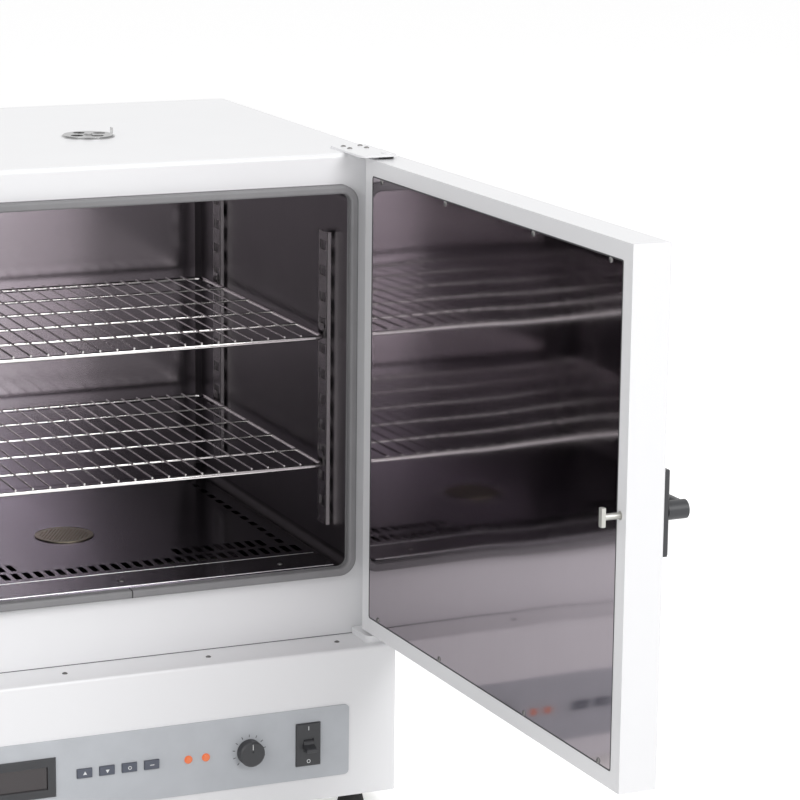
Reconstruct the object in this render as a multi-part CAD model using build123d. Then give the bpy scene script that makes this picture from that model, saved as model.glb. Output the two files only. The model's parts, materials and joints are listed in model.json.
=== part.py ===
from build123d import *
import math
import os

# Bench drying oven with one hinged door, shown with the door open. Millimetres.
# X runs to the right, Y runs from the door into the oven, Z is up.
# The origin lies on the floor, midway between the closed door's front and the back.

# Chamber
CHAMBER_W = 600.0
CHAMBER_H = 497.0
CHAMBER_D = 546.0
CHAMBER_R = 12.0
WELL_DEPTH = 45.0
WELL_RIM = 24.0
SILL_DEPTH = 66.0

# Cabinet walls
SIDE_WALL = 52.5
TOP_WALL = 51.0
BACK_WALL = 40.0
FACE_BELOW = 95.0
SKIN = 1.2
CASING_BEND = 6.0
WOOL_GAP = 0.3
FIT = 0.3
SHAFT_FIT = 0.05

# Lower housing, feet and vents
HOUSING_H = 202.0
HOUSING_INSET = 4.5
HOUSING_BEND = 4.0
FEET_H = 25.0
PAD_R = 18.0
PAD_H = 14.0
STUD_R = 5.0
STUD_L = 10.0
PAD_TOP = 0.8
FOOT_NUT = 0.6
FOOT_INSET = 45.0
LOUVRE_L = 70.0
LOUVRE_H = 4.0
LOUVRE_PITCH = 14.0
LOUVRE_COUNT = 6

# Gasket and door
GASKET_W = 11.5
GASKET_H = 14.0
GASKET_ROUND = 4.0
SEAL_GAP = 0.3
DOOR_T = 49.5
DOOR_TOP_GAP = 3.5
DOOR_FOOT_GAP = 12.0
DOOR_BEND = 4.0
DOOR_BORDER = 21.0
PANEL_LAP = 16.0
PANEL_GAP = 0.4
PANEL_R = 6.0
DOOR_OPEN = 91.2

# Hinges
PIVOT_INSET = 14.0
PIVOT_DEPTH = 22.0
PIN_R = 4.0
PIN_DEPTH = 14.0
PIN_HEAD_R = 6.5
PIN_HEAD_H = 1.2
BUSH_R = 7.0
BUSH_FLANGE_R = 9.5
ARM_T = 3.0
ARM_W = 21.0
ARM_OVERHANG = 15.0
ARM_CORNER = 10.0
ARM_BASE_X = 49.0
ARM_BASE_Y = 44.0
ARM_BASE_BACK = 6.0
ARM_LIFT = 0.3
FOOT_BLOCK_X = 38.0
FOOT_BLOCK_H = 9.0

# Posts, clips and shelves
POST_W = 28.0
POST_T = 5.8
POST_LIFT = 3.2
POST_L = 394.0
POST_BASE = 44.0
POST_GAUGE = 1.2
POST_FRONT = 59.0
POST_REAR = 87.0
POST_STUD_R = 4.0
SLOT_W = 20.0
SLOT_H = 13.0
SLOT_PITCH = 34.5
SLOT_FIRST = 75.0
SLOT_END = 14.0
LOWER_SLOT = 2
UPPER_SLOT = 7
CLIP_T = 1.5
CLIP_W = 15.0
CLIP_ARM = 10.0
CLIP_DROP = 19.3
CLIP_TONGUE = 4.0
SHELF_SIDE = 12.5
SHELF_FRONT = 34.0
SHELF_BACK = 44.0
FRAME_D = 6.0
FRAME_BEND = 14.0
CROSS_D = 4.0
CROSS_COUNT = 4
WIRE_D = 2.4
WIRE_PITCH = 22.9

# Floor plate and intake
FLOOR_MARGIN = 13.0
FLOOR_FOLD = 12.0
VENT_W = 6.0
VENT_L = 20.0
VENT_PITCH = 15.0
VENT_FRONT = 98.0
VENT_SECOND = 139.0
VENT_SECOND_X = 115.0
VENT_SIDE_X = 262.0
VENT_SIDE_PITCH = 33.0
VENT_SIDE_COUNT = 12
INTAKE_R = 36.0
INTAKE_Y = 272.0
GRILLE_R = 40.0
GRILLE_H = 1.8
GRILLE_HOLE_R = 4.4
GRILLE_PITCH = 14.0
DUCT_R = 28.0
DUCT_GAUGE = 1.2
DUCT_SIDES = 16
DUCT_CUT = 76.0
DUCT_FLANGE = 92.0
INTAKE_DROP = 12.0

# Heaters and probes
HEATER_D = 8.0
HEATER_HEIGHT = 22.0
HEATER_X = 140.0
HEATER_BEND = 55.0
HEATER_FRONT = 150.0
HEATER_TAIL = 24.0
BRACKET_T = 1.5
BRACKET_FLANGE = 10.0
BRACKET_FRONT = 30.0
BRACKET_BACK = 60.0
PROBE_R = 2.4
PROBE_REACH = 70.0
PROBE_IN = 50.0
PROBE_Z = 400.0
PROBE_STEP = 40.0
PROBE_NUT_R = 7.0
PROBE_NUT_T = 5.0
PROBE_TAIL = 14.0

# Exhaust
EXHAUST_X = 36.0
EXHAUST_Y = 258.0
EXHAUST_PLATE_R = 35.0
EXHAUST_PLATE_T = 1.5
SHUTTER_R = 33.0
SHUTTER_T = 1.2
SHUTTER_TAB = 9.0
PORT_R = 8.5
PORT_CIRCLE = 19.0
PORT_COUNT = 4
PORT_SIDES = 12
SHUTTER_TURN = 22.0
RIVET_R = 3.0
RIVET_HEAD_R = 6.0
RIVET_HEAD_H = 1.8
RIVET_SIDES = 12

# Door latch
LATCH_INSET = 14.5
LATCH_Z = 560.0
SPINDLE_R = 5.0
NECK_R = 3.8
TONGUE_L = 22.0
TONGUE_W = 7.0
TONGUE_T = 5.0
KEEPER_T = 2.0
KEEPER_W = 16.0
KEEPER_H = 60.0
LATCH_PLAY = 0.8
LATCH_ROOM = 20.0
ROSE_W = 24.0
ROSE_H = 100.0
ROSE_T = 7.0
HUB_R = 11.0
HUB_L = 26.0
GRIP_L = 118.0
GRIP_W = 20.0
GRIP_T = 11.0
SPINDLE_SEAT = 16.0

# Control panel
FASCIA_W = 560.0
FASCIA_H = 96.0
FASCIA_T = 2.0
FASCIA_Z = 104.0
FASCIA_R = 6.0
FASCIA_LAP = 9.0
BEZEL_X = -170.0
BEZEL_W = 96.0
BEZEL_H = 52.0
BEZEL_T = 3.0
WINDOW_W = 78.0
WINDOW_H = 34.0
WINDOW_T = 1.5
KEY_X = -84.0
KEY_PITCH = 30.0
KEY_COUNT = 4
KEY_W = 20.0
KEY_H = 12.0
KEY_PROUD = 3.0
KEY_RIM = 1.5
KEY_TRAVEL = 1.2
LAMP_X = 56.0
LAMP_PITCH = 24.0
LAMP_R = 4.0
LAMP_SIDES = 12
DIAL_X = 140.0
DIAL_R = 17.0
DIAL_H = 14.0
DIAL_SHAFT_R = 3.0
DIAL_BEVEL = 2.0
THERMOSTAT_W = 34.0
THERMOSTAT_D = 22.0
BREAKER_X = 222.0
BREAKER_W = 34.0
BREAKER_H = 58.0
BREAKER_D = 42.0
BREAKER_PROUD = 3.0
TOGGLE_R = 7.0
TOGGLE_W = 14.0
TOGGLE_L = 15.0
TOGGLE_T = 6.0
TOGGLE_REST = 20.0
KEY_SWITCH_H = 11.3
BOARD_T = 1.6
BOARD_H = 70.0
SPACER_R = 3.0

# Electrical pieces on the base plate and the back panel
RELAY_W = 46.0
RELAY_D = 62.0
RELAY_H = 30.0
RELAY_X = 60.0
TERMINAL_W = 90.0
TERMINAL_D = 24.0
TERMINAL_H = 22.0
TERMINAL_X = -90.0
ELECTRIC_Y = 120.0
GLAND_IN = 106.5
GLAND_Z = 90.0
GLAND_R = 10.0
GLAND_NUT_R = 15.0
GLAND_NUT_T = 7.0
GLAND_BORE = 5.0
GLAND_SIDES = 12
GLAND_L = 22.0
GLAND_INSIDE = 10.0

# Screws that show
SCREW_R = 3.6
SCREW_H = 1.8
SHANK_R = 1.8
HEAD_SIDES = 6
HEAD_TAPER = 25.0
SHANK_SIDES = 6
CABINET_SCREW_L = 6.0
PANEL_SCREW_L = 8.0
SCREW_ROOM = 2.0
LEDGE_SCREWS = (97.0, 277.0)
LEDGE_SCREW_Y = 31.5
SILL_SCREW_X = 220.0
SILL_SCREW_Y = 29.0
PANEL_SCREW_IN = 4.0
PANEL_SCREW_END = 28.5
PANEL_SCREW_PITCH = 186.0

# Places worked out from the sizes above
DOOR_GAP = SKIN + GASKET_H + SEAL_GAP
LEDGE_D = DOOR_GAP + DOOR_T
CABINET_W = CHAMBER_W + 2 * SIDE_WALL
CABINET_D = CHAMBER_D + BACK_WALL
DEPTH = LEDGE_D + CABINET_D
Z_LEDGE = FEET_H + HOUSING_H
Z_FLOOR = Z_LEDGE + FACE_BELOW
Z_CEILING = Z_FLOOR + CHAMBER_H
Z_ROOF = Z_CEILING + TOP_WALL
Z_MIDDLE = (Z_FLOOR + Z_CEILING) / 2
Z_WELL = Z_FLOOR - WELL_DEPTH
Y_FRONT = -DEPTH / 2
Y_FACE = Y_FRONT + LEDGE_D
Y_DOOR_BACK = Y_FRONT + DOOR_T
Y_BACK = DEPTH / 2
Y_SHEET = Y_BACK - SKIN
Y_CHAMBER_BACK = Y_FACE + CHAMBER_D
X_WALL = CHAMBER_W / 2
X_POST = X_WALL - POST_LIFT - POST_T
SLOT_COUNT = int((POST_BASE + POST_L - SLOT_FIRST - SLOT_END) / SLOT_PITCH) + 1
X_CABINET = CABINET_W / 2
X_HOUSING = X_CABINET - HOUSING_INSET
Z_DOOR_LOW = Z_LEDGE + DOOR_FOOT_GAP
Z_DOOR_HIGH = Z_ROOF - DOOR_TOP_GAP
PIVOT_X = X_CABINET - PIVOT_INSET
PIVOT_Y = Y_DOOR_BACK - PIVOT_DEPTH
LATCH_X = -X_CABINET + LATCH_INSET
GLAND_X = -X_CABINET + CASING_BEND + GLAND_IN
BOARD_GAP = KEY_RIM + KEY_TRAVEL + KEY_SWITCH_H
EXHAUST_PLACE = (EXHAUST_X, Y_FACE + EXHAUST_Y)
INTAKE_PLACE = (0.0, Y_FACE + INTAKE_Y)
WELL_X = X_WALL - WELL_RIM
WELL_FRONT = Y_FACE + SILL_DEPTH + 1.0
WELL_BACK = Y_CHAMBER_BACK - WELL_RIM
Z_HEATER = Z_WELL + HEATER_HEIGHT
POST_ROWS = (Y_FACE + POST_FRONT, Y_CHAMBER_BACK - POST_REAR)
SHELF_W = CHAMBER_W - 2 * SHELF_SIDE
SHELF_D = CHAMBER_D - SHELF_FRONT - SHELF_BACK
Y_SHELF = Y_FACE + SHELF_FRONT + SHELF_D / 2
PLATE_SCREWS = ((13.0, 11.0), (13.0, 32.5), (36.5, 11.0), (36.5, 32.5))


def slab(x0, x1, y0, y1, z0, z1):
    place = Pos((x0 + x1) / 2, (y0 + y1) / 2, (z0 + z1) / 2)
    return place * Box(x1 - x0, y1 - y0, z1 - z0)


def upright(place, radius, z0, z1):
    return Pos(place[0], place[1], (z0 + z1) / 2) * Cylinder(radius, z1 - z0)


def along_y(x, z, radius, y0, y1):
    return Pos(x, (y0 + y1) / 2, z) * Rot(90, 0, 0) * Cylinder(radius, y1 - y0)


def post_up(place, radius, sides, z0, z1, taper=0):
    return Pos(place[0], place[1], z0) * extrude(RegularPolygon(radius, sides), amount=z1 - z0, taper=taper)


def post_y(x, z, radius, sides, y0, y1):
    return Pos(x, y1, z) * extrude(Plane.XZ * RegularPolygon(radius, sides), amount=y1 - y0)


def square(place, side, z0, z1):
    half = side / 2
    return slab(place[0] - half, place[0] + half, place[1] - half, place[1] + half, z0, z1)


def prism(width, height, radius, y0, y1, z):
    outline = Plane.XZ * RectangleRounded(width, height, radius)
    return Pos(0, y1, z) * extrude(outline, amount=y1 - y0)


def hood(half, y0, y1, z0, z1, radius, bend=fillet):
    # A box whose front, side and top edges are bent round; its back and foot stay square.
    body = slab(-half, half, y0, y1, z0, z1)
    bends = [e for e in body.edges() if e.center().Y < y1 - radius and e.center().Z > z0 + radius]
    return bend(bends, radius)


def sheet_hood(half, y0, y1, z0, z1, radius):
    inner = hood(half - SKIN, y0 + SKIN, y1 + SKIN, z0 - SKIN, z1 - SKIN, radius - SKIN)
    return hood(half, y0, y1, z0, z1, radius) - inner


def screw(depth):
    # A pan head on the plane z = 0 with its shank below it.
    head = extrude(RegularPolygon(SCREW_R, HEAD_SIDES), amount=SCREW_H, taper=HEAD_TAPER)
    return head + extrude(RegularPolygon(SHANK_R, SHANK_SIDES), amount=-depth)


def shank_hole(place, z0, z1):
    return post_up(place, SHANK_R + FIT, SHANK_SIDES, z0, z1)


def shank_hole_y(x, z, y0, y1):
    return post_y(x, z, SHANK_R + FIT, SHANK_SIDES, y0, y1)


def opened(shape):
    # Turns a piece of the closed door about the hinge pins to the open pose.
    return Pos(PIVOT_X, PIVOT_Y, 0) * Rot(0, 0, DOOR_OPEN) * Pos(-PIVOT_X, -PIVOT_Y, 0) * shape


def save(shape, node):
    export_step(shape, os.path.join("parts", node + ".step"))


def group(shapes):
    return Compound(children=list(shapes))


# Cabinet


def arm_screw_places():
    left = X_CABINET - CASING_BEND - ARM_BASE_X
    return [(left + x, Y_FACE + ARM_BASE_BACK + y) for x, y in PLATE_SCREWS]


def latch_opening(y0, y1):
    half = TONGUE_L / 2 + 2.0
    return slab(LATCH_X - NECK_R - 1.4, LATCH_X + NECK_R + 1.4, y0, y1, LATCH_Z - half, LATCH_Z + half)


def outer_casing():
    casing = sheet_hood(X_CABINET, Y_FACE, Y_SHEET, Z_LEDGE, Z_ROOF, CASING_BEND)
    gap = 2 * (SKIN + FIT)
    casing -= prism(CHAMBER_W + gap, CHAMBER_H + gap, CHAMBER_R + gap / 2, Y_FACE - SKIN, Y_FACE + 2 * SKIN,
                    Z_MIDDLE)
    casing -= upright(EXHAUST_PLACE, DUCT_R + FIT, Z_ROOF - 4 * SKIN, Z_ROOF + SKIN)
    casing -= latch_opening(Y_FACE - SKIN, Y_FACE + 2 * SKIN)
    for place in arm_screw_places():
        casing -= shank_hole(place, Z_ROOF - 3 * SKIN, Z_ROOF + SKIN)
    return casing


def lower_housing():
    housing = sheet_hood(X_HOUSING, Y_FRONT, Y_SHEET, FEET_H, Z_LEDGE, HOUSING_BEND)
    half_w = FASCIA_W / 2 - FASCIA_LAP
    half_h = FASCIA_H / 2 - FASCIA_LAP
    housing -= slab(-half_w, half_w, Y_FRONT - SKIN, Y_FRONT + 2 * SKIN, FASCIA_Z - half_h,
                    FASCIA_Z + half_h)
    housing -= square(INTAKE_PLACE, DUCT_CUT, Z_LEDGE - 2 * SKIN, Z_LEDGE + SKIN)
    for x in LEDGE_SCREWS:
        for side in (-1, 1):
            housing -= shank_hole((side * x, Y_FACE - LEDGE_SCREW_Y), Z_LEDGE - 2 * SKIN, Z_LEDGE + 1)
    for side in (-1, 1):
        for i in range(LOUVRE_COUNT):
            z = FASCIA_Z + (i - (LOUVRE_COUNT - 1) / 2) * LOUVRE_PITCH
            x = side * X_HOUSING
            housing -= slab(x - 2 * SKIN, x + 2 * SKIN, Y_SHEET - 2 * LOUVRE_L, Y_SHEET - LOUVRE_L, z,
                            z + LOUVRE_H)
    return housing


def base_plate():
    half = X_HOUSING - SKIN - FIT
    plate = slab(-half, half, Y_FRONT + SKIN + FIT, Y_SHEET, FEET_H, FEET_H + SKIN)
    plate = fillet(plate.edges().filter_by(Axis.Z).sort_by(Axis.Y)[0:2], HOUSING_BEND)
    for x, y in foot_places():
        plate -= post_up((x, y), STUD_R + FIT, SHANK_SIDES, FEET_H - SKIN, FEET_H + 2 * SKIN)
    for i in range(LOUVRE_COUNT):
        y = INTAKE_PLACE[1] + (i - (LOUVRE_COUNT - 1) / 2) * LOUVRE_PITCH
        plate -= slab(-LOUVRE_L, LOUVRE_L, y, y + LOUVRE_H, FEET_H - 1, FEET_H + 2 * SKIN)
    return plate


def back_panel():
    panel = slab(-X_CABINET + CASING_BEND, X_CABINET - CASING_BEND, Y_SHEET, Y_BACK, FEET_H,
                 Z_ROOF - CASING_BEND)
    panel -= along_y(GLAND_X, GLAND_Z, GLAND_R + FIT, Y_SHEET - SKIN, Y_BACK + SKIN)
    for side in (-1, 1):
        for i in range(LOUVRE_COUNT):
            z = FASCIA_Z + (i - (LOUVRE_COUNT - 1) / 2) * LOUVRE_PITCH
            x = side * (LOUVRE_L + LOUVRE_PITCH)
            panel -= slab(x - LOUVRE_L / 2, x + LOUVRE_L / 2, Y_SHEET - SKIN, Y_BACK + SKIN, z,
                          z + LOUVRE_H)
    return panel


def foot_places():
    x = X_HOUSING - FOOT_INSET
    return [(sx * x, y) for sx in (-1, 1) for y in (Y_FRONT + FOOT_INSET, Y_BACK - FOOT_INSET)]


def foot(place):
    pad = Cone(PAD_R, PAD_R * PAD_TOP, PAD_H, align=(Align.CENTER, Align.CENTER, Align.MIN))
    nut = post_up((0, 0), PAD_R * FOOT_NUT, 6, PAD_H, FEET_H)
    stud = post_up((0, 0), STUD_R, SHANK_SIDES, FEET_H, FEET_H + STUD_L)
    return Pos(place[0], place[1], 0) * (pad + nut + stud)


# Chamber


def well(grow):
    return slab(-WELL_X - grow, WELL_X + grow, WELL_FRONT - grow, WELL_BACK + grow, Z_WELL - grow,
                Z_FLOOR + 1)


def heater_lines():
    return [side * (HEATER_X + leg * HEATER_BEND) for side in (-1, 1) for leg in (-1, 1)]


def probe_places():
    return [(PROBE_IN + i * PROBE_STEP - X_WALL, Z_FLOOR + PROBE_Z) for i in range(2)]


def chamber_tank():
    grown = 2 * SKIN
    tank = prism(CHAMBER_W + grown, CHAMBER_H + grown, CHAMBER_R + SKIN, Y_FACE - SKIN,
                 Y_CHAMBER_BACK + SKIN, Z_MIDDLE)
    lip = 2 * GASKET_W
    tank += prism(CHAMBER_W + lip, CHAMBER_H + lip, CHAMBER_R + GASKET_W, Y_FACE - SKIN, Y_FACE, Z_MIDDLE)
    tank += well(SKIN)
    tank -= prism(CHAMBER_W, CHAMBER_H, CHAMBER_R, Y_FACE - 2 * SKIN, Y_CHAMBER_BACK, Z_MIDDLE)
    tank -= well(0)
    tank -= square(EXHAUST_PLACE, DUCT_CUT, Z_CEILING - 1, Z_CEILING + 2 * SKIN)
    tank -= square(INTAKE_PLACE, DUCT_CUT, Z_WELL - 2 * SKIN, Z_WELL + 1)
    for x in heater_lines():
        tank -= bar_y(3 * SKIN, HEATER_D + 2 * FIT, x, WELL_BACK + SKIN / 2, Z_HEATER, hexagon)
    for x, z in probe_places():
        tank -= along_y(x, z, PROBE_R + FIT, Y_CHAMBER_BACK - 1, Y_CHAMBER_BACK + 2 * SKIN)
    return tank


def insulation():
    gap = SKIN + WOOL_GAP
    wool = hood(X_CABINET - gap, Y_FACE + gap, Y_SHEET - WOOL_GAP, Z_LEDGE, Z_ROOF - gap, CASING_BEND,
                chamfer)
    hollow = 2 * gap
    wool -= prism(CHAMBER_W + hollow, CHAMBER_H + hollow, CHAMBER_R + gap, Y_FACE - 1, Y_CHAMBER_BACK + gap,
                  Z_MIDDLE)
    wool -= well(gap)
    flange = DUCT_FLANGE + 2 * WOOL_GAP
    wool -= post_up(EXHAUST_PLACE, DUCT_R + WOOL_GAP, DUCT_SIDES, Z_CEILING, Z_ROOF + 1)
    wool -= square(EXHAUST_PLACE, flange, Z_CEILING, Z_CEILING + 2 * SKIN + WOOL_GAP)
    wool -= post_up(INTAKE_PLACE, DUCT_R + WOOL_GAP, DUCT_SIDES, Z_LEDGE - 1, Z_WELL)
    wool -= square(INTAKE_PLACE, flange, Z_WELL - 2 * SKIN - WOOL_GAP, Z_WELL)
    screws = arm_screw_places()
    wool -= slab(screws[0][0] - SHANK_R - SCREW_ROOM, screws[-1][0] + SHANK_R + SCREW_ROOM,
                 screws[0][1] - SHANK_R - SCREW_ROOM, screws[-1][1] + SHANK_R + SCREW_ROOM,
                 Z_ROOF - CABINET_SCREW_L - SCREW_ROOM, Z_ROOF + 1)
    for x in heater_lines():
        room = HEATER_TAIL + 2 * SKIN
        wool -= bar_y(room, HEATER_D + 2 * SCREW_ROOM, x, WELL_BACK + room / 2, Z_HEATER)
    for x, z in probe_places():
        half = PROBE_NUT_R + SCREW_ROOM
        wool -= slab(x - half, x + half, Y_CHAMBER_BACK, Y_BACK + 1, z - half, z + half)
    reach = TONGUE_L / 2 + 2 * SCREW_ROOM
    rise = KEEPER_H / 2 + SCREW_ROOM
    wool -= slab(-X_CABINET, LATCH_X + reach, Y_FACE, Y_FACE + LATCH_ROOM, LATCH_Z - rise, LATCH_Z + rise)
    return wool


def gasket():
    y_seat = Y_FACE - SKIN
    outer = 2 * GASKET_W
    ring = prism(CHAMBER_W + outer, CHAMBER_H + outer, CHAMBER_R + GASKET_W, y_seat - GASKET_H, y_seat,
                 Z_MIDDLE)
    ring -= prism(CHAMBER_W, CHAMBER_H, CHAMBER_R, y_seat - GASKET_H - 1, y_seat + 1, Z_MIDDLE)
    return chamfer(ring.faces().sort_by(Axis.Y)[0].edges(), GASKET_ROUND)


def sill_plate():
    half = X_WALL - FLOOR_MARGIN
    plate = slab(-half, half, Y_FACE + SKIN, Y_FACE + SILL_DEPTH, Z_FLOOR, Z_FLOOR + SKIN)
    for x in (-SILL_SCREW_X, 0, SILL_SCREW_X):
        plate -= shank_hole((x, Y_FACE + SILL_SCREW_Y), Z_FLOOR - 1, Z_FLOOR + 2 * SKIN)
    return plate


def vent_places():
    across = int((X_WALL - 2 * FLOOR_MARGIN) / VENT_PITCH)
    front = [(i * VENT_PITCH, Y_FACE + VENT_FRONT) for i in range(-across, across + 1)]
    corner = int((VENT_SIDE_X - VENT_SECOND_X) / VENT_PITCH)
    second = [(s * (VENT_SECOND_X + i * VENT_PITCH), Y_FACE + VENT_SECOND) for s in (-1, 1)
              for i in range(corner)]
    side = [(s * VENT_SIDE_X, Y_FACE + VENT_SECOND + i * VENT_SIDE_PITCH) for s in (-1, 1)
            for i in range(VENT_SIDE_COUNT)]
    return front + second + side


def floor_plate():
    half = X_WALL - FLOOR_MARGIN
    front = WELL_FRONT + FIT
    plate = slab(-half, half, front, Y_CHAMBER_BACK - SKIN, Z_FLOOR, Z_FLOOR + SKIN)
    fold = WELL_X - FIT
    plate += slab(-fold, fold, front, front + SKIN, Z_FLOOR - FLOOR_FOLD, Z_FLOOR)
    plate -= upright(INTAKE_PLACE, INTAKE_R, Z_FLOOR - 1, Z_FLOOR + 2 * SKIN)
    vents = [slab(x - VENT_W / 2, x + VENT_W / 2, y - VENT_L / 2, y + VENT_L / 2, Z_FLOOR - 1,
                  Z_FLOOR + 2 * SKIN)
             for x, y in vent_places()]
    return plate.cut(*vents)


def intake_grille():
    z = Z_FLOOR + SKIN
    grille = upright(INTAKE_PLACE, GRILLE_R, z, z + GRILLE_H)
    grille = chamfer(grille.edges().sort_by(Axis.Z)[-1], GRILLE_H / 2)
    grille -= upright(INTAKE_PLACE, INTAKE_R, z - 1, z + GRILLE_H - SKIN)
    rows = int(INTAKE_R / GRILLE_PITCH)
    holes = []
    for i in range(-rows, rows + 1):
        for j in range(-rows, rows + 1):
            x = (i + j / 2) * GRILLE_PITCH
            y = j * GRILLE_PITCH * math.sqrt(3) / 2
            if math.hypot(x, y) < INTAKE_R - 2 * GRILLE_HOLE_R:
                place = (INTAKE_PLACE[0] + x, INTAKE_PLACE[1] + y)
                holes.append(post_up(place, GRILLE_HOLE_R, 6, z - GRILLE_H, z + 2 * GRILLE_H))
    return grille.cut(*holes)


def duct(place, z0, z1, z_flange):
    # A tube with the square flange that welds over the tank's wider cut-out.
    body = post_up(place, DUCT_R, DUCT_SIDES, z0, z1)
    body += square(place, DUCT_FLANGE, z_flange, z_flange + SKIN)
    return body - post_up(place, DUCT_R - DUCT_GAUGE, DUCT_SIDES, z0 - 1, z1 + 1)


def heater(side):
    x_mid = side * HEATER_X
    y_end = WELL_BACK + SKIN + HEATER_TAIL
    y_turn = Y_FACE + HEATER_FRONT
    legs = [bar_y(y_end - y_turn, HEATER_D, x_mid + s * HEATER_BEND, (y_turn + y_end) / 2, Z_HEATER,
                  hexagon)
            for s in (-1, 1)]
    section = Plane.XZ * Pos(HEATER_BEND, 0) * hexagon(HEATER_D)
    turn = Pos(x_mid, y_turn, Z_HEATER) * revolve(section, Axis.Z, -180)
    return legs[0] + turn + legs[1]


def heater_bracket(side, y):
    top = Z_HEATER - HEATER_D / 2
    half = HEATER_BEND + BRACKET_FLANGE
    x = side * HEATER_X
    web = slab(x - half, x + half, y, y + BRACKET_T, Z_WELL, top)
    shelf = slab(x - half, x + half, y, y + BRACKET_FLANGE, top - BRACKET_T, top)
    foot_strip = slab(x - half, x + half, y, y + BRACKET_FLANGE, Z_WELL, Z_WELL + BRACKET_T)
    return web + shelf + foot_strip


def probe(place):
    x, z = place
    y = Y_CHAMBER_BACK
    length = PROBE_REACH + SKIN + PROBE_NUT_T + PROBE_TAIL
    rod = bar_y(length, 2 * PROBE_R, x, y - PROBE_REACH + length / 2, z)
    tip = Pos(x, y - PROBE_REACH, z) * extrude(Plane.XZ * octagon(2 * PROBE_R), amount=PROBE_R,
                                               taper=HEAD_TAPER)
    nut = post_y(x, z, PROBE_NUT_R, 6, y + SKIN, y + SKIN + PROBE_NUT_T)
    return rod + tip + nut


def post(side, y):
    # A slotted channel, held off the chamber's wall by two studs welded behind its web.
    low = Z_FLOOR + POST_BASE
    high = low + POST_L
    web = X_POST + POST_GAUGE
    rail = slab(X_POST, X_POST + POST_T, y - POST_W / 2, y + POST_W / 2, low, high)
    inside = POST_W / 2 - POST_GAUGE
    rail -= slab(web, X_WALL, y - inside, y + inside, low - 1, high + 1)
    slots = []
    for i in range(SLOT_COUNT):
        z = slot_height(i)
        slots.append(slab(X_POST - 1, web + 1, y - SLOT_W / 2, y + SLOT_W / 2, z - SLOT_H / 2,
                          z + SLOT_H / 2))
    rail = rail.cut(*slots)
    section = Plane.YZ * RegularPolygon(POST_STUD_R, SHANK_SIDES)
    for i in (0, SLOT_COUNT - 2):
        rail += Pos(web, y, slot_height(i) + SLOT_PITCH / 2) * extrude(section, amount=X_WALL - web)
    return rail if side > 0 else mirror(rail, Plane.YZ)


def slot_height(i):
    return Z_FLOOR + SLOT_FIRST + i * SLOT_PITCH


def clip(side, y, slot):
    # A bent strip: tongue through the slot, back down the face and an arm under the shelf's rod.
    face = X_POST
    z_slot = slot_height(slot) - SLOT_H / 2
    top = z_slot + CLIP_TONGUE + CLIP_T
    low = slot_height(slot) - CLIP_DROP
    half = CLIP_W / 2
    strip = slab(face - CLIP_T, face, y - half, y + half, low - CLIP_T, top)
    strip += slab(face - CLIP_T - CLIP_ARM, face, y - half, y + half, low - CLIP_T, low)
    strip += slab(face - CLIP_T, face + POST_GAUGE + 2 * CLIP_T, y - half, y + half, z_slot,
                  z_slot + CLIP_T)
    hook = face + POST_GAUGE + CLIP_T
    strip += slab(hook, hook + CLIP_T, y - half, y + half, z_slot - CLIP_TONGUE, z_slot + CLIP_T)
    return strip if side > 0 else mirror(strip, Plane.YZ)


def octagon(diameter):
    return RegularPolygon(diameter / 2, 8, major_radius=False, rotation=22.5)


def hexagon(diameter):
    return RegularPolygon(diameter / 2, 6, major_radius=False)


def bar_x(length, diameter, x, y, z, section=octagon):
    return Pos(x - length / 2, y, z) * extrude(Plane.YZ * section(diameter), amount=length)


def bar_y(length, diameter, x, y, z, section=octagon):
    return Pos(x, y + length / 2, z) * extrude(Plane.XZ * section(diameter), amount=length)


def wire_shelf(slot):
    # Round-cornered frame rod, cross rods between its long sides and thin wires laid on top.
    z = slot_height(slot) - CLIP_DROP + FIT + FRAME_D / 2
    half_x = (SHELF_W - FRAME_D) / 2
    half_y = (SHELF_D - FRAME_D) / 2
    rods = [bar_x(2 * (half_x - FRAME_BEND), FRAME_D, 0, Y_SHELF + s * half_y, z) for s in (-1, 1)]
    rods += [bar_y(2 * (half_y - FRAME_BEND), FRAME_D, s * half_x, Y_SHELF, z) for s in (-1, 1)]
    section = Plane.XZ * Pos(FRAME_BEND, 0) * octagon(FRAME_D)
    for i, (sx, sy) in enumerate(((1, 1), (-1, 1), (-1, -1), (1, -1))):
        corner = Rot(0, 0, 90 * i) * revolve(section, Axis.Z, 90)
        rods.append(Pos(sx * (half_x - FRAME_BEND), Y_SHELF + sy * (half_y - FRAME_BEND), z) * corner)
    z_cross = z + (FRAME_D - CROSS_D) / 2
    for i in range(CROSS_COUNT):
        y = Y_SHELF + (i + 1) * 2 * half_y / (CROSS_COUNT + 1) - half_y
        rods.append(bar_x(2 * half_x, CROSS_D, 0, y, z_cross, hexagon))
    z_wire = z + (FRAME_D + WIRE_D) / 2
    count = int((half_x - FRAME_BEND) / WIRE_PITCH)
    for i in range(-count, count + 1):
        rods.append(bar_y(2 * half_y, WIRE_D, i * WIRE_PITCH, Y_SHELF, z_wire, hexagon))
    return rods[0].fuse(*rods[1:])


# Exhaust


def ports(z0, z1, turn):
    holes = []
    for i in range(PORT_COUNT):
        angle = math.radians(turn + 360 * i / PORT_COUNT)
        x = EXHAUST_PLACE[0] + PORT_CIRCLE * math.cos(angle)
        y = EXHAUST_PLACE[1] + PORT_CIRCLE * math.sin(angle)
        holes.append(post_up((x, y), PORT_R, PORT_SIDES, z0, z1))
    return holes


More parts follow.
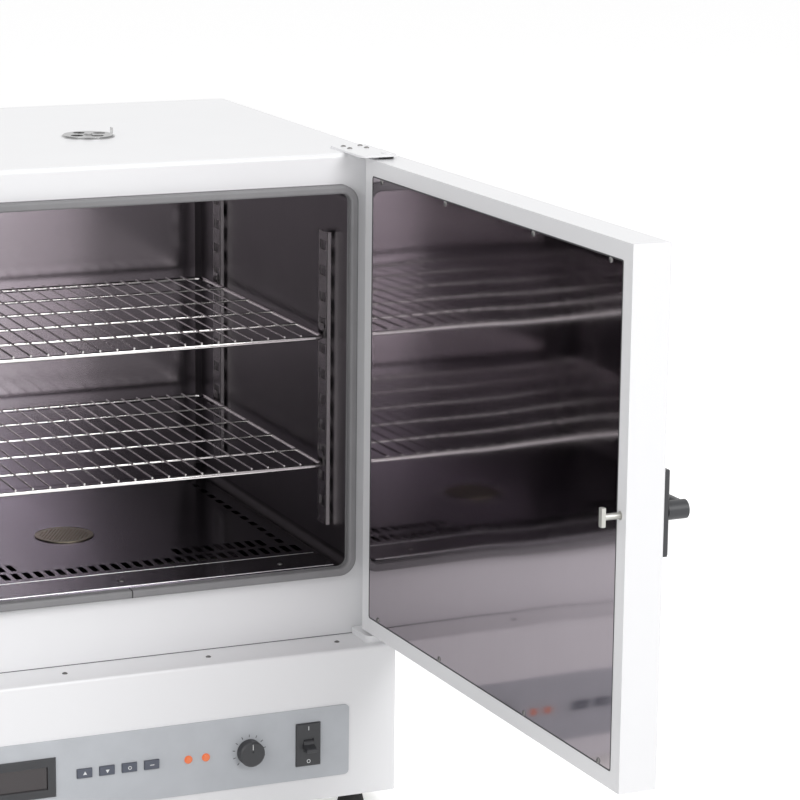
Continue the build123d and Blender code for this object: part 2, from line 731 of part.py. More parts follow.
def exhaust_plate():
    plate = upright(EXHAUST_PLACE, EXHAUST_PLATE_R, Z_ROOF, Z_ROOF + EXHAUST_PLATE_T)
    plate -= upright(EXHAUST_PLACE, RIVET_R + SHAFT_FIT, Z_ROOF - 1, Z_ROOF + 2 * EXHAUST_PLATE_T)
    return plate.cut(*ports(Z_ROOF - 1, Z_ROOF + 2 * EXHAUST_PLATE_T, 0))


def exhaust_shutter():
    z0 = Z_ROOF + EXHAUST_PLATE_T + FIT
    disc = upright(EXHAUST_PLACE, SHUTTER_R, z0, z0 + SHUTTER_T)
    disc -= upright(EXHAUST_PLACE, RIVET_R + SHAFT_FIT, z0 - 1, z0 + 2 * SHUTTER_T)
    disc = disc.cut(*ports(z0 - 1, z0 + 2 * SHUTTER_T, SHUTTER_TURN))
    x = EXHAUST_PLACE[0] + SHUTTER_R - SHUTTER_T / 2
    y = EXHAUST_PLACE[1]
    tab = slab(x - SHUTTER_T / 2, x + SHUTTER_T / 2, y - SHUTTER_TAB / 2, y + SHUTTER_TAB / 2, z0,
               z0 + SHUTTER_TAB)
    return disc + tab


def exhaust_rivet():
    z_head = Z_ROOF + EXHAUST_PLATE_T + 2 * FIT + SHUTTER_T
    head = post_up(EXHAUST_PLACE, RIVET_HEAD_R, RIVET_SIDES, z_head, z_head + RIVET_HEAD_H, HEAD_TAPER)
    tail = post_up(EXHAUST_PLACE, RIVET_HEAD_R, RIVET_SIDES, Z_ROOF - SKIN, Z_ROOF)
    return head + upright(EXHAUST_PLACE, RIVET_R, Z_ROOF - SKIN, z_head) + tail


# Hinges


def hinge_block(left, back, low, high):
    # The part of a hinge plate that reaches past the pivot, with rounded front corners.
    block = slab(left, PIVOT_X + ARM_W / 2, PIVOT_Y - ARM_OVERHANG, back, low, high)
    return fillet(block.edges().filter_by(Axis.Z).sort_by(Axis.Y)[0:2], ARM_CORNER)


def hinge_top_arm():
    right = X_CABINET - CASING_BEND
    left = right - ARM_BASE_X
    front = Y_FACE + ARM_BASE_BACK
    base = slab(left, right, front, front + ARM_BASE_Y, Z_ROOF, Z_ROOF + ARM_T)
    plate = base + hinge_block(left, front, Z_ROOF + ARM_LIFT, Z_ROOF + ARM_T)
    plate -= upright((PIVOT_X, PIVOT_Y), PIN_R + SHAFT_FIT, Z_ROOF - 1, Z_ROOF + 2 * ARM_T)
    for place in arm_screw_places():
        plate -= shank_hole(place, Z_ROOF - 1, Z_ROOF + 2 * ARM_T)
    return plate


def hinge_top_pin():
    z = Z_ROOF + ARM_T
    head = upright((PIVOT_X, PIVOT_Y), PIN_HEAD_R, z, z + PIN_HEAD_H)
    return head + upright((PIVOT_X, PIVOT_Y), PIN_R, Z_DOOR_HIGH - PIN_DEPTH, z)


def hinge_bottom_plate():
    left = PIVOT_X + ARM_W / 2 - FOOT_BLOCK_X
    plate = hinge_block(left, Y_FACE - SKIN, Z_LEDGE, Z_LEDGE + FOOT_BLOCK_H)
    return plate - upright((PIVOT_X, PIVOT_Y), PIN_R + SHAFT_FIT, Z_LEDGE - 1, Z_LEDGE + 2 * FOOT_BLOCK_H)


def hinge_bottom_pin():
    return upright((PIVOT_X, PIVOT_Y), PIN_R, Z_LEDGE, Z_DOOR_LOW + PIN_DEPTH)


def bush(z_sheet, outward, flange):
    # outward is +1 on the door's top and -1 on its foot.
    low, high = sorted((z_sheet - outward * (PIN_DEPTH + 2), z_sheet))
    barrel = upright((PIVOT_X, PIVOT_Y), BUSH_R, low, high)
    low, high = sorted((z_sheet, z_sheet + outward * flange))
    barrel += upright((PIVOT_X, PIVOT_Y), BUSH_FLANGE_R, low, high)
    return barrel - upright((PIVOT_X, PIVOT_Y), PIN_R + SHAFT_FIT, Z_LEDGE, Z_ROOF + ARM_T)


def hinge_bushes():
    top = bush(Z_DOOR_HIGH, 1, DOOR_TOP_GAP)
    foot_flange = DOOR_FOOT_GAP - FOOT_BLOCK_H - FIT
    return group([opened(top), opened(bush(Z_DOOR_LOW, -1, foot_flange))])


# Door, drawn closed and then opened


def door_slab(inset, y0, y1):
    half = X_CABINET - inset
    return slab(-half, half, y0, y1, Z_DOOR_LOW + inset, Z_DOOR_HIGH - inset)


def door_block(inset, y0, y1, radius):
    block = door_slab(inset, y0, y1)
    return fillet(block.faces().sort_by(Axis.Y)[0].edges(), radius)


def door_bores(radius, depth):
    low = upright((PIVOT_X, PIVOT_Y), radius, Z_DOOR_LOW - 1, Z_DOOR_LOW + depth)
    return low + upright((PIVOT_X, PIVOT_Y), radius, Z_DOOR_HIGH - depth, Z_DOOR_HIGH + 1)


def door_shell():
    shell = door_block(0, Y_FRONT, Y_DOOR_BACK, DOOR_BEND)
    shell -= door_block(SKIN, Y_FRONT + SKIN, Y_DOOR_BACK - SKIN, DOOR_BEND - SKIN)
    shell -= door_slab(DOOR_BORDER, Y_DOOR_BACK - 2 * SKIN, Y_DOOR_BACK + 1)
    flange = door_slab(DOOR_BORDER - 2, Y_DOOR_BACK - 2 * SKIN, Y_DOOR_BACK - SKIN)
    shell += flange - door_slab(DOOR_BORDER + PANEL_LAP, Y_DOOR_BACK - 3 * SKIN, Y_DOOR_BACK)
    shell -= door_bores(BUSH_R + FIT, 2 * SKIN)
    shell -= along_y(LATCH_X, LATCH_Z, SPINDLE_R + FIT, Y_FRONT - 1, Y_DOOR_BACK + 1)
    holes = [shank_hole_y(x, z, Y_DOOR_BACK - 3 * SKIN, Y_DOOR_BACK) for x, z in panel_screw_places()]
    return shell.cut(*holes)


def panel_screw_places():
    # A row along the panel's top edge and one along its foot.
    inset = DOOR_BORDER + PANEL_SCREW_IN
    outer = X_CABINET - DOOR_BORDER - PANEL_SCREW_END
    columns = (-outer, PANEL_SCREW_PITCH - outer, outer - PANEL_SCREW_PITCH, outer)
    return [(x, z) for x in columns for z in (Z_DOOR_LOW + inset, Z_DOOR_HIGH - inset)]


def door_inner_panel():
    inset = DOOR_BORDER + PANEL_GAP
    height = Z_DOOR_HIGH - Z_DOOR_LOW - 2 * inset
    middle = (Z_DOOR_HIGH + Z_DOOR_LOW) / 2
    panel = prism(CABINET_W - 2 * inset, height, PANEL_R, Y_DOOR_BACK - SKIN, Y_DOOR_BACK, middle)
    holes = [shank_hole_y(x, z, Y_DOOR_BACK - 2 * SKIN, Y_DOOR_BACK + 1) for x, z in panel_screw_places()]
    return panel.cut(*holes)


def door_insulation():
    wool = door_slab(SKIN + DOOR_BEND, Y_FRONT + SKIN + WOOL_GAP, Y_DOOR_BACK - 2 * SKIN - WOOL_GAP)
    wool -= door_bores(BUSH_R + SCREW_ROOM, PIN_DEPTH + 4 * SCREW_ROOM)
    wool -= along_y(LATCH_X, LATCH_Z, SPINDLE_R + SCREW_ROOM, Y_FRONT, Y_DOOR_BACK)
    # The wool's edge is stepped back behind the screws that hold the panel.
    y_step = Y_DOOR_BACK - PANEL_SCREW_L - SCREW_ROOM
    step_inset = DOOR_BORDER + PANEL_SCREW_IN + SHANK_R + SCREW_ROOM
    return wool - (door_slab(0, y_step, Y_DOOR_BACK) - door_slab(step_inset, y_step - 1, Y_DOOR_BACK + 1))


def door_panel_screws():
    upside = Rot(-90, 0, 0) * screw(PANEL_SCREW_L)
    return group(opened(Pos(x, Y_DOOR_BACK, z) * upside) for x, z in panel_screw_places())


# Latch


def handle_rose():
    rose = slab(LATCH_X - ROSE_W / 2, LATCH_X + ROSE_W / 2, Y_FRONT - ROSE_T, Y_FRONT,
                LATCH_Z - ROSE_H / 2, LATCH_Z + ROSE_H / 2)
    rose = chamfer(rose.faces().sort_by(Axis.Y)[0].edges(), 2)
    return rose - along_y(LATCH_X, LATCH_Z, SPINDLE_R + SHAFT_FIT, Y_FRONT - ROSE_T - 1, Y_FRONT + 1)


def handle_lever():
    # Hub and grip of a lever that stands level when the latch is free.
    y_hub = Y_FRONT - ROSE_T - FIT
    hub = along_y(LATCH_X, LATCH_Z, HUB_R, y_hub - HUB_L, y_hub)
    grip = slab(LATCH_X, LATCH_X + GRIP_L, y_hub - HUB_L, y_hub - HUB_L + GRIP_T, LATCH_Z - GRIP_W / 2,
                LATCH_Z + GRIP_W / 2)
    grip = fillet(grip.edges().filter_by(Axis.X), GRIP_T / 2 - 1)
    end = along_y(LATCH_X + GRIP_L, LATCH_Z, GRIP_W / 2, y_hub - HUB_L + 1, y_hub - HUB_L + GRIP_T - 1)
    lever = hub + grip + end
    return lever - along_y(LATCH_X, LATCH_Z, SPINDLE_R, y_hub - SPINDLE_SEAT, y_hub + 1)


def latch_spindle():
    y_hub = Y_FRONT - ROSE_T - FIT
    y_tongue = Y_FACE + SKIN + KEEPER_T + LATCH_PLAY
    shaft = along_y(LATCH_X, LATCH_Z, SPINDLE_R, y_hub - SPINDLE_SEAT, Y_DOOR_BACK)
    neck = along_y(LATCH_X, LATCH_Z, NECK_R, Y_DOOR_BACK, y_tongue)
    tongue = slab(LATCH_X - TONGUE_W / 2, LATCH_X + TONGUE_W / 2, y_tongue, y_tongue + TONGUE_T,
                  LATCH_Z - TONGUE_L / 2, LATCH_Z + TONGUE_L / 2)
    return shaft + neck + tongue


def latch_keeper():
    y0 = Y_FACE + SKIN
    half = KEEPER_W / 2
    plate = slab(LATCH_X - half, LATCH_X + half, y0, y0 + KEEPER_T, LATCH_Z - KEEPER_H / 2,
                 LATCH_Z + KEEPER_H / 2)
    return plate - latch_opening(y0 - 1, y0 + KEEPER_T + 1)


# Control panel


def key_places():
    return [KEY_X + i * KEY_PITCH for i in range(KEY_COUNT)]


def control_fascia():
    fascia = prism(FASCIA_W, FASCIA_H, FASCIA_R, Y_FRONT - FASCIA_T, Y_FRONT, FASCIA_Z)
    half_w = BEZEL_W / 2 - 4
    half_h = BEZEL_H / 2 - 4
    cuts = [slab(BEZEL_X - half_w, BEZEL_X + half_w, Y_FRONT - 5, Y_FRONT + 5, FASCIA_Z - half_h,
                 FASCIA_Z + half_h)]
    for x in key_places():
        half = KEY_W / 2 + FIT
        rise = KEY_H / 2 + FIT
        cuts.append(slab(x - half, x + half, Y_FRONT - 5, Y_FRONT + 5, FASCIA_Z - rise, FASCIA_Z + rise))
    for i in range(2):
        cuts.append(along_y(LAMP_X + i * LAMP_PITCH, FASCIA_Z, LAMP_R + FIT, Y_FRONT - 5, Y_FRONT + 5))
    cuts.append(along_y(DIAL_X, FASCIA_Z, DIAL_SHAFT_R + FIT, Y_FRONT - 5, Y_FRONT + 5))
    half = BREAKER_W / 2 + FIT
    rise = BREAKER_H / 2 + FIT
    cuts.append(slab(BREAKER_X - half, BREAKER_X + half, Y_FRONT - 5, Y_FRONT + 5, FASCIA_Z - rise,
                     FASCIA_Z + rise))
    return fascia.cut(*cuts)


def display_bezel():
    y1 = Y_FRONT - FASCIA_T
    half_w = BEZEL_W / 2
    half_h = BEZEL_H / 2
    bezel = slab(BEZEL_X - half_w, BEZEL_X + half_w, y1 - BEZEL_T, y1, FASCIA_Z - half_h, FASCIA_Z + half_h)
    bezel = chamfer(bezel.faces().sort_by(Axis.Y)[0].edges(), 1.5)
    win_w = WINDOW_W / 2 - 2
    win_h = WINDOW_H / 2 - 2
    bezel -= slab(BEZEL_X - win_w, BEZEL_X + win_w, y1 - BEZEL_T - 1, y1 + 1, FASCIA_Z - win_h,
                  FASCIA_Z + win_h)
    return bezel


def display_window():
    # The pane lies against the back of the bezel, inside the fascia's cut-out.
    y0 = Y_FRONT - FASCIA_T
    half_w = WINDOW_W / 2
    half_h = WINDOW_H / 2
    return slab(BEZEL_X - half_w, BEZEL_X + half_w, y0, y0 + WINDOW_T, FASCIA_Z - half_h, FASCIA_Z + half_h)


def key(x):
    y0 = Y_FRONT - FASCIA_T - KEY_PROUD
    cap = slab(x - KEY_W / 2, x + KEY_W / 2, y0, Y_FRONT, FASCIA_Z - KEY_H / 2, FASCIA_Z + KEY_H / 2)
    cap = chamfer(cap.faces().sort_by(Axis.Y)[0].edges(), 1)
    half = KEY_W / 2 + KEY_RIM
    rise = KEY_H / 2 + KEY_RIM
    rim = slab(x - half, x + half, Y_FRONT, Y_FRONT + KEY_RIM, FASCIA_Z - rise, FASCIA_Z + rise)
    return cap + rim


def pilot_lamps():
    lamps = []
    for i in range(2):
        x = LAMP_X + i * LAMP_PITCH
        y0 = Y_FRONT - FASCIA_T
        lens = post_y(x, FASCIA_Z, LAMP_R, LAMP_SIDES, y0 - LAMP_R / 2, Y_FRONT + 8)
        lamps.append(lens + post_y(x, FASCIA_Z, LAMP_R + 1.5, LAMP_SIDES, y0 - 1, y0))
    return group(lamps)


def overheat_dial():
    y1 = Y_FRONT - FASCIA_T - FIT
    knob = along_y(DIAL_X, FASCIA_Z, DIAL_R, y1 - DIAL_H, y1)
    knob = chamfer(knob.edges().sort_by(Axis.Y)[0], DIAL_BEVEL)
    knob -= slab(DIAL_X - 1, DIAL_X + 1, y1 - DIAL_H - 1, y1 - DIAL_H + 1.5, FASCIA_Z + 3,
                 FASCIA_Z + DIAL_R + 1)
    return knob + along_y(DIAL_X, FASCIA_Z, DIAL_SHAFT_R, y1, Y_FRONT + 8)


def overheat_thermostat():
    half = THERMOSTAT_W / 2
    y0 = Y_FRONT
    body = slab(DIAL_X - half, DIAL_X + half, y0, y0 + THERMOSTAT_D, FASCIA_Z - half, FASCIA_Z + half)
    return body - along_y(DIAL_X, FASCIA_Z, DIAL_SHAFT_R + SHAFT_FIT, y0 - 1, Y_FRONT + 8 + FIT)


def breaker_body():
    y0 = Y_FRONT - FASCIA_T - BREAKER_PROUD
    half_w = BREAKER_W / 2
    half_h = BREAKER_H / 2
    body = slab(BREAKER_X - half_w, BREAKER_X + half_w, y0, Y_FRONT + BREAKER_D, FASCIA_Z - half_h,
                FASCIA_Z + half_h)
    body = chamfer(body.faces().sort_by(Axis.Y)[0].edges(), 1)
    y = y0 + TOGGLE_R - 2
    pocket = Pos(BREAKER_X, y, FASCIA_Z) * Rot(0, 90, 0) * Cylinder(TOGGLE_R + FIT, TOGGLE_W + 2 * FIT)
    mouth = TOGGLE_R + 2
    slot = slab(BREAKER_X - TOGGLE_W / 2 - FIT, BREAKER_X + TOGGLE_W / 2 + FIT, y0 - 1, y0 + 2,
                FASCIA_Z - mouth, FASCIA_Z + mouth)
    return body - pocket - slot


def breaker_toggle():
    # A drum in the breaker's pocket with a stub lever, drawn in its lower, off position.
    y = Y_FRONT - FASCIA_T - BREAKER_PROUD + TOGGLE_R - 2
    drum = Rot(0, 90, 0) * Cylinder(TOGGLE_R, TOGGLE_W)
    stub = slab(-TOGGLE_W / 2, TOGGLE_W / 2, -TOGGLE_R - TOGGLE_L + 4, -TOGGLE_R / 2, -TOGGLE_T / 2,
                TOGGLE_T / 2)
    stub = fillet(stub.edges().filter_by(Axis.X).sort_by(Axis.Y)[0:2], TOGGLE_T / 3)
    return Pos(BREAKER_X, y, FASCIA_Z) * Rot(TOGGLE_REST, 0, 0) * (drum + stub)


def board_place():
    left = BEZEL_X - BEZEL_W / 2
    right = KEY_X + (KEY_COUNT - 1) * KEY_PITCH + KEY_W
    return left, right


def control_board():
    left, right = board_place()
    y0 = Y_FRONT + BOARD_GAP
    return slab(left, right, y0, y0 + BOARD_T, FASCIA_Z - BOARD_H / 2, FASCIA_Z + BOARD_H / 2)


def board_spacers():
    left, right = board_place()
    rise = BOARD_H / 2 - SPACER_R
    places = [(x, FASCIA_Z + s * rise) for x in (left + SPACER_R, right - SPACER_R) for s in (-1, 1)]
    spacer = post_y(0, 0, SPACER_R, 6, Y_FRONT, Y_FRONT + BOARD_GAP)
    return group(Pos(x, 0, z) * spacer for x, z in places)


def relay_module():
    z0 = FEET_H + SKIN
    base = slab(RELAY_X - RELAY_W / 2, RELAY_X + RELAY_W / 2, ELECTRIC_Y - RELAY_D / 2,
                ELECTRIC_Y + RELAY_D / 2, z0, z0 + 4)
    fins = [slab(RELAY_X + i * 8 - 1.5, RELAY_X + i * 8 + 1.5, ELECTRIC_Y - RELAY_D / 2,
                 ELECTRIC_Y + RELAY_D / 2,
                 z0 + 4, z0 + RELAY_H) for i in range(-2, 3)]
    return base.fuse(*fins)


def terminal_block():
    z0 = FEET_H + SKIN
    block = slab(TERMINAL_X - TERMINAL_W / 2, TERMINAL_X + TERMINAL_W / 2, ELECTRIC_Y - TERMINAL_D / 2,
                 ELECTRIC_Y + TERMINAL_D / 2, z0, z0 + TERMINAL_H)
    pitch = TERMINAL_W / 6
    cuts = [slab(TERMINAL_X + i * pitch - 0.4 * pitch, TERMINAL_X + i * pitch + 0.4 * pitch,
                 ELECTRIC_Y - TERMINAL_D / 2 - 1,
                 ELECTRIC_Y + TERMINAL_D / 2 + 1, z0 + 0.6 * TERMINAL_H,
                 z0 + TERMINAL_H + 1) for i in range(-2, 3)]
    return block.cut(*cuts)


def cord_gland():
    outer = Y_BACK + GLAND_NUT_T
    body = post_y(GLAND_X, GLAND_Z, GLAND_R, GLAND_SIDES, Y_SHEET - GLAND_INSIDE, Y_BACK + GLAND_L)
    body += post_y(GLAND_X, GLAND_Z, GLAND_NUT_R, 6, Y_BACK, outer)
    return body - post_y(GLAND_X, GLAND_Z, GLAND_BORE, GLAND_SIDES, Y_SHEET - GLAND_INSIDE - 1,
                         Y_BACK + GLAND_L + 1)


def cabinet_screws():
    screws = [Pos(x, y, Z_ROOF + ARM_T) * screw(ARM_T + CABINET_SCREW_L) for x, y in arm_screw_places()]
    screws += [Pos(s * x, Y_FACE - LEDGE_SCREW_Y, Z_LEDGE) * screw(CABINET_SCREW_L)
               for s in (-1, 1) for x in LEDGE_SCREWS]
    screws += [Pos(x, Y_FACE + SILL_SCREW_Y, Z_FLOOR + SKIN) * screw(SKIN)
               for x in (-SILL_SCREW_X, 0, SILL_SCREW_X)]
    return group(screws)


def main():
    os.makedirs("parts", exist_ok=True)
    save(outer_casing(), "outer_casing")
    save(lower_housing(), "lower_housing")
    save(base_plate(), "base_plate")
    save(back_panel(), "back_panel")
    save(group(foot(place) for place in foot_places()), "feet")
    save(chamber_tank(), "chamber_tank")
    save(insulation(), "chamber_insulation")
    save(gasket(), "door_gasket")
    save(sill_plate(), "sill_plate")
    save(floor_plate(), "floor_plate")
    save(intake_grille(), "intake_grille")
    save(duct(INTAKE_PLACE, Z_LEDGE - INTAKE_DROP, Z_WELL - SKIN, Z_WELL - 2 * SKIN), "intake_duct")
    save(group(heater(side) for side in (-1, 1)), "heater_elements")
    rows = (Y_FACE + HEATER_FRONT + BRACKET_FRONT, WELL_BACK - BRACKET_BACK)
    save(group(heater_bracket(s, y) for s in (-1, 1) for y in rows), "heater_brackets")
    save(group(probe(place) for place in probe_places()), "temperature_probes")
    for side, side_name in ((-1, "left"), (1, "right")):
        for y, row_name in zip(POST_ROWS, ("front", "rear")):
            save(post(side, y), f"shelf_post_{side_name}_{row_name}")
    for slot, name in ((LOWER_SLOT, "lower"), (UPPER_SLOT, "upper")):
        save(group(clip(s, y, slot) for s in (-1, 1) for y in POST_ROWS), f"shelf_clips_{name}")
        save(wire_shelf(slot), f"wire_shelf_{name}")
    save(duct(EXHAUST_PLACE, Z_CEILING + SKIN, Z_ROOF - SKIN, Z_CEILING + SKIN), "exhaust_duct")
    save(exhaust_plate(), "exhaust_plate")
    save(exhaust_shutter(), "exhaust_shutter")
    save(exhaust_rivet(), "exhaust_rivet")
    save(hinge_top_arm(), "hinge_top_arm")
    save(hinge_top_pin(), "hinge_top_pin")
    save(hinge_bottom_plate(), "hinge_bottom_plate")
    save(hinge_bottom_pin(), "hinge_bottom_pin")
    save(hinge_bushes(), "hinge_bushes")
    save(cabinet_screws(), "cabinet_screws")
    save(opened(door_shell()), "door_shell")
    save(opened(door_inner_panel()), "door_inner_panel")
    save(opened(door_insulation()), "door_insulation")
    save(door_panel_screws(), "door_panel_screws")
    save(opened(handle_rose()), "handle_rose")
    save(opened(handle_lever()), "handle_lever")
    save(opened(latch_spindle()), "latch_spindle")
    save(latch_keeper(), "latch_keeper")
    save(control_fascia(), "control_fascia")
    save(display_bezel(), "display_bezel")
    save(display_window(), "display_window")
    for i, x in enumerate(key_places()):
        save(key(x), f"key_{i + 1}")
    save(pilot_lamps(), "pilot_lamps")
    save(overheat_dial(), "overheat_dial")
    save(overheat_thermostat(), "overheat_thermostat")
    save(breaker_body(), "breaker_body")
    save(breaker_toggle(), "breaker_toggle")
    save(control_board(), "control_board")
    save(board_spacers(), "board_spacers")
    save(relay_module(), "relay_module")
    save(terminal_block(), "terminal_block")
    save(cord_gland(), "cord_gland")


main()
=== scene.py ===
import json
import math

import bmesh
import bpy
from mathutils import Matrix, Vector


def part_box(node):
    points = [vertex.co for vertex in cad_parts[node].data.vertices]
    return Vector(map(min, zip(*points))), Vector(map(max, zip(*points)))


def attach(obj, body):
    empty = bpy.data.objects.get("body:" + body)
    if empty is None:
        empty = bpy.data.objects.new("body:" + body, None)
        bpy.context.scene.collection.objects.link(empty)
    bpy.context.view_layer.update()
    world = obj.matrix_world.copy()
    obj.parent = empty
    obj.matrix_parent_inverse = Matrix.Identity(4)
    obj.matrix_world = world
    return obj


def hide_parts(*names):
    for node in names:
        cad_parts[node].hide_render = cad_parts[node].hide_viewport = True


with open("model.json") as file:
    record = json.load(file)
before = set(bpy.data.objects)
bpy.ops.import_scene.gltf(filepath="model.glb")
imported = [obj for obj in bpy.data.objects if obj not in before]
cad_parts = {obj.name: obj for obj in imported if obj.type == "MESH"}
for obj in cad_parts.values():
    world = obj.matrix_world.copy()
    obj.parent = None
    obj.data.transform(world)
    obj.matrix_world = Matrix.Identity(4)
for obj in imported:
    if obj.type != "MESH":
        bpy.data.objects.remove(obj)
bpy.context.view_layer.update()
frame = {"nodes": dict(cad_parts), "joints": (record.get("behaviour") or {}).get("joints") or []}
cadNodes = frame["nodes"]
scene = bpy.context.scene
print("frame loaded:", len(cadNodes), "nodes")

# how the photograph was taken: the camera's place and directions, lens and sensor in millimetres
shot = {
    "place": (-1.25066, -3.95974, 1.43640),
    "forward": (0.39332548, 0.8934771, -0.21678039),
    "right": (0.9161462, -0.40070053, 0.01073389),
    "up": (0.07727354, 0.20282445, 0.97616138),
    "lens": 141.47,
    "sensor": 36.0,
    "farthest": 60.0,
}


def setCamera():
    lensData = bpy.data.cameras.new("camera")
    lensData.lens = shot["lens"]
    lensData.sensor_width = shot["sensor"]
    lensData.clip_end = shot["farthest"]
    holder = bpy.data.objects.new("camera", lensData)
    scene.collection.objects.link(holder)
    rows = zip(shot["right"], shot["up"], shot["forward"], shot["place"])
    holder.matrix_world = Matrix([(r, u, -f, p) for r, u, f, p in rows] + [(0, 0, 0, 1)])
    scene.camera = holder


setCamera()
print("camera set")


# a node's socket that can stand in a sum like a number
class Value:
    def __init__(self, maker, socket):
        self.maker = maker
        self.socket = socket

    def sum(self, operation, *values):
        inputs = dict(enumerate(values))
        return self.maker.add("ShaderNodeMath", {"operation": operation}, inputs)

    def __add__(self, other):
        return self.sum("ADD", self, other)

    def __sub__(self, other):
        return self.sum("SUBTRACT", self, other)

    def __rsub__(self, other):
        return self.sum("SUBTRACT", other, self)

    def __mul__(self, other):
        return self.sum("MULTIPLY", self, other)

    def __truediv__(self, other):
        return self.sum("DIVIDE", self, other)

    def __lt__(self, other):
        return self.sum("LESS_THAN", self, other)

    def __gt__(self, other):
        return self.sum("GREATER_THAN", self, other)

    def __pow__(self, other):
        return self.sum("POWER", self, other)

    def __abs__(self):
        return self.sum("ABSOLUTE", self)

    __radd__ = __add__
    __rmul__ = __mul__


# a node tree under construction
class Maker:
    def __init__(self, tree):
        self.tree = tree

    def add(self, kind, settings=None, inputs=None, out=0):
        node = self.tree.nodes.new(kind)
        for key, value in (settings or {}).items():
            setattr(node, key, value)
        for key, value in (inputs or {}).items():
            for single in value if isinstance(value, list) else [value]:
                if isinstance(single, Value):
                    self.tree.links.new(single.socket, node.inputs[key])
                else:
                    node.inputs[key].default_value = single
        return Value(self, node.outputs[out] if node.outputs else None)


# a finish under construction, on a Principled shader
class Finish(Maker):
    def __init__(self, name, **sockets):
        self.material = bpy.data.materials.new(name)
        self.material.use_nodes = True
        super().__init__(self.material.node_tree)
        self.tree.nodes.clear()
        self.shader = self.tree.nodes.new("ShaderNodeBsdfPrincipled")
        for key, value in sockets.items():
            self.put(key.replace("_", " "), value)
        output = self.tree.nodes.new("ShaderNodeOutputMaterial")
        self.tree.links.new(self.shader.outputs[0], output.inputs[0])
        self.place = self.add("ShaderNodeTexCoord", out="Object")

    def put(self, key, value):
        if isinstance(value, Value):
            self.tree.links.new(value.socket, self.shader.inputs[key])
        else:
            self.shader.inputs[key].default_value = value

    def noise(self, scale, detail=3.0):
        # scale is one number, or three for a pattern that is drawn out along an axis
        scales = scale if isinstance(scale, tuple) else (scale, scale, scale)
        spot = self.add("ShaderNodeMapping", None, {"Vector": self.place, "Scale": scales})
        inputs = {"Vector": spot, "Scale": 1.0, "Detail": detail}
        return self.add("ShaderNodeTexNoise", None, inputs)

    def axis(self, name):
        return self.add("ShaderNodeSeparateXYZ", None, {0: self.place}, name)

    def blend(self, factor, first, second):
        # 6 and 7 are the mix node's colours, 2 is the mixed colour
        inputs = {0: factor, 6: first, 7: second}
        return self.add("ShaderNodeMix", {"data_type": "RGBA"}, inputs, 2)

    def ramp(self, value, low, high):
        # 0 at low and below it, 1 at high and past it
        inputs = {"Value": value, "From Min": low, "From Max": high}
        return self.add("ShaderNodeMapRange", {"clamp": True}, inputs)

    def colour(self, drift, first, second):
        self.put("Base Color", self.blend(drift, first, second))

    def roughen(self, drift, middle, spread):
        # the roughness wanders about its middle
        self.put("Roughness", drift * spread + (middle - spread / 2))

    def bump(self, height, strength, distance):
        inputs = {"Height": height, "Strength": strength, "Distance": distance}
        self.put("Normal", self.add("ShaderNodeBump", None, inputs))


def grey(level, red=1.0, green=1.0, blue=1.0):
    return (level * red, level * green, level * blue, 1.0)


def darker(colour, share):
    return tuple(share * c for c in colour[:3]) + (1.0,)


# baked paint on bent sheet
paintLook = {
    "tone": 0.80, "tint": (1, 1, 1.015), "worn": 0.765, "wornTint": (1, 1, 1.02), "drift": 3.0,
    "coat": 0.12, "coatRoughness": 0.25, "roughness": 0.32, "spread": 0.12, "spreadSize": 9.0,
    "peel": 0.05, "peelSize": 700.0, "peelDetail": 2.0, "peelRise": 0.0004,
}


def bakedPaint(name):
    look = paintLook
    finish = Finish(name, Coat_Weight=look["coat"], Coat_Roughness=look["coatRoughness"])
    fresh, worn = grey(look["tone"], *look["tint"]), grey(look["worn"], *look["wornTint"])
    finish.colour(finish.noise(look["drift"]), fresh, worn)
    finish.roughen(finish.noise(look["spreadSize"]), look["roughness"], look["spread"])
    peel = finish.noise(look["peelSize"], look["peelDetail"])
    finish.bump(peel, look["peel"], look["peelRise"])
    return finish.material


# painted shade on the chamber and floor plate steel: full tone at the middle, less towards the
# sides, least on the side walls and in their lower bends
paintedShadeLook = {
    "reach": 0.30, "wallFrom": 0.2900, "bendFrom": 0.2868, "bendTop": 0.337,
    "tank": {"side": 0.68, "fall": 0.9, "wall": 0.28, "bend": 0.40},
    "plate": {"side": 0.16, "fall": 1.6, "wall": 1.0, "bend": 1.0},
}


def paintedSideShade(finish, part):
    look = paintedShadeLook[part]
    across = abs(finish.axis("X"))
    level = (1.0 - finish.ramp(across, 0.0, paintedShadeLook["reach"])) ** look["fall"]
    level = level * (1.0 - look["side"]) + look["side"]
    level = level * (1.0 - (across > paintedShadeLook["wallFrom"]) * (1.0 - look["wall"]))
    bend = (across > paintedShadeLook["bendFrom"]) * (finish.axis("Z") < paintedShadeLook["bendTop"])
    return level * (1.0 - bend * (1.0 - look["bend"]))


# painted shade: the slotted web of a shelf post is painted darker than its flanges
postLook = {"webTo": 0.2921, "web": 0.24}


def paintedWebShade(finish):
    return 1.0 - (abs(finish.axis("X")) < postLook["webTo"]) * (1.0 - postLook["web"])


# rolled stainless sheet, its grain along one axis, a little wavy from the press
steelLook = {
    "grain": 850.0, "drag": 5.0, "grainDetail": 2.0, "grainRise": 0.000002, "smudge": 7.0,
    "smudgeDetail": 4.0, "shade": 0.07, "wave": 5.0, "waveRise": 0.0010,
    "tint": (1.0, 0.90, 0.98), "smear": 0.06,
}


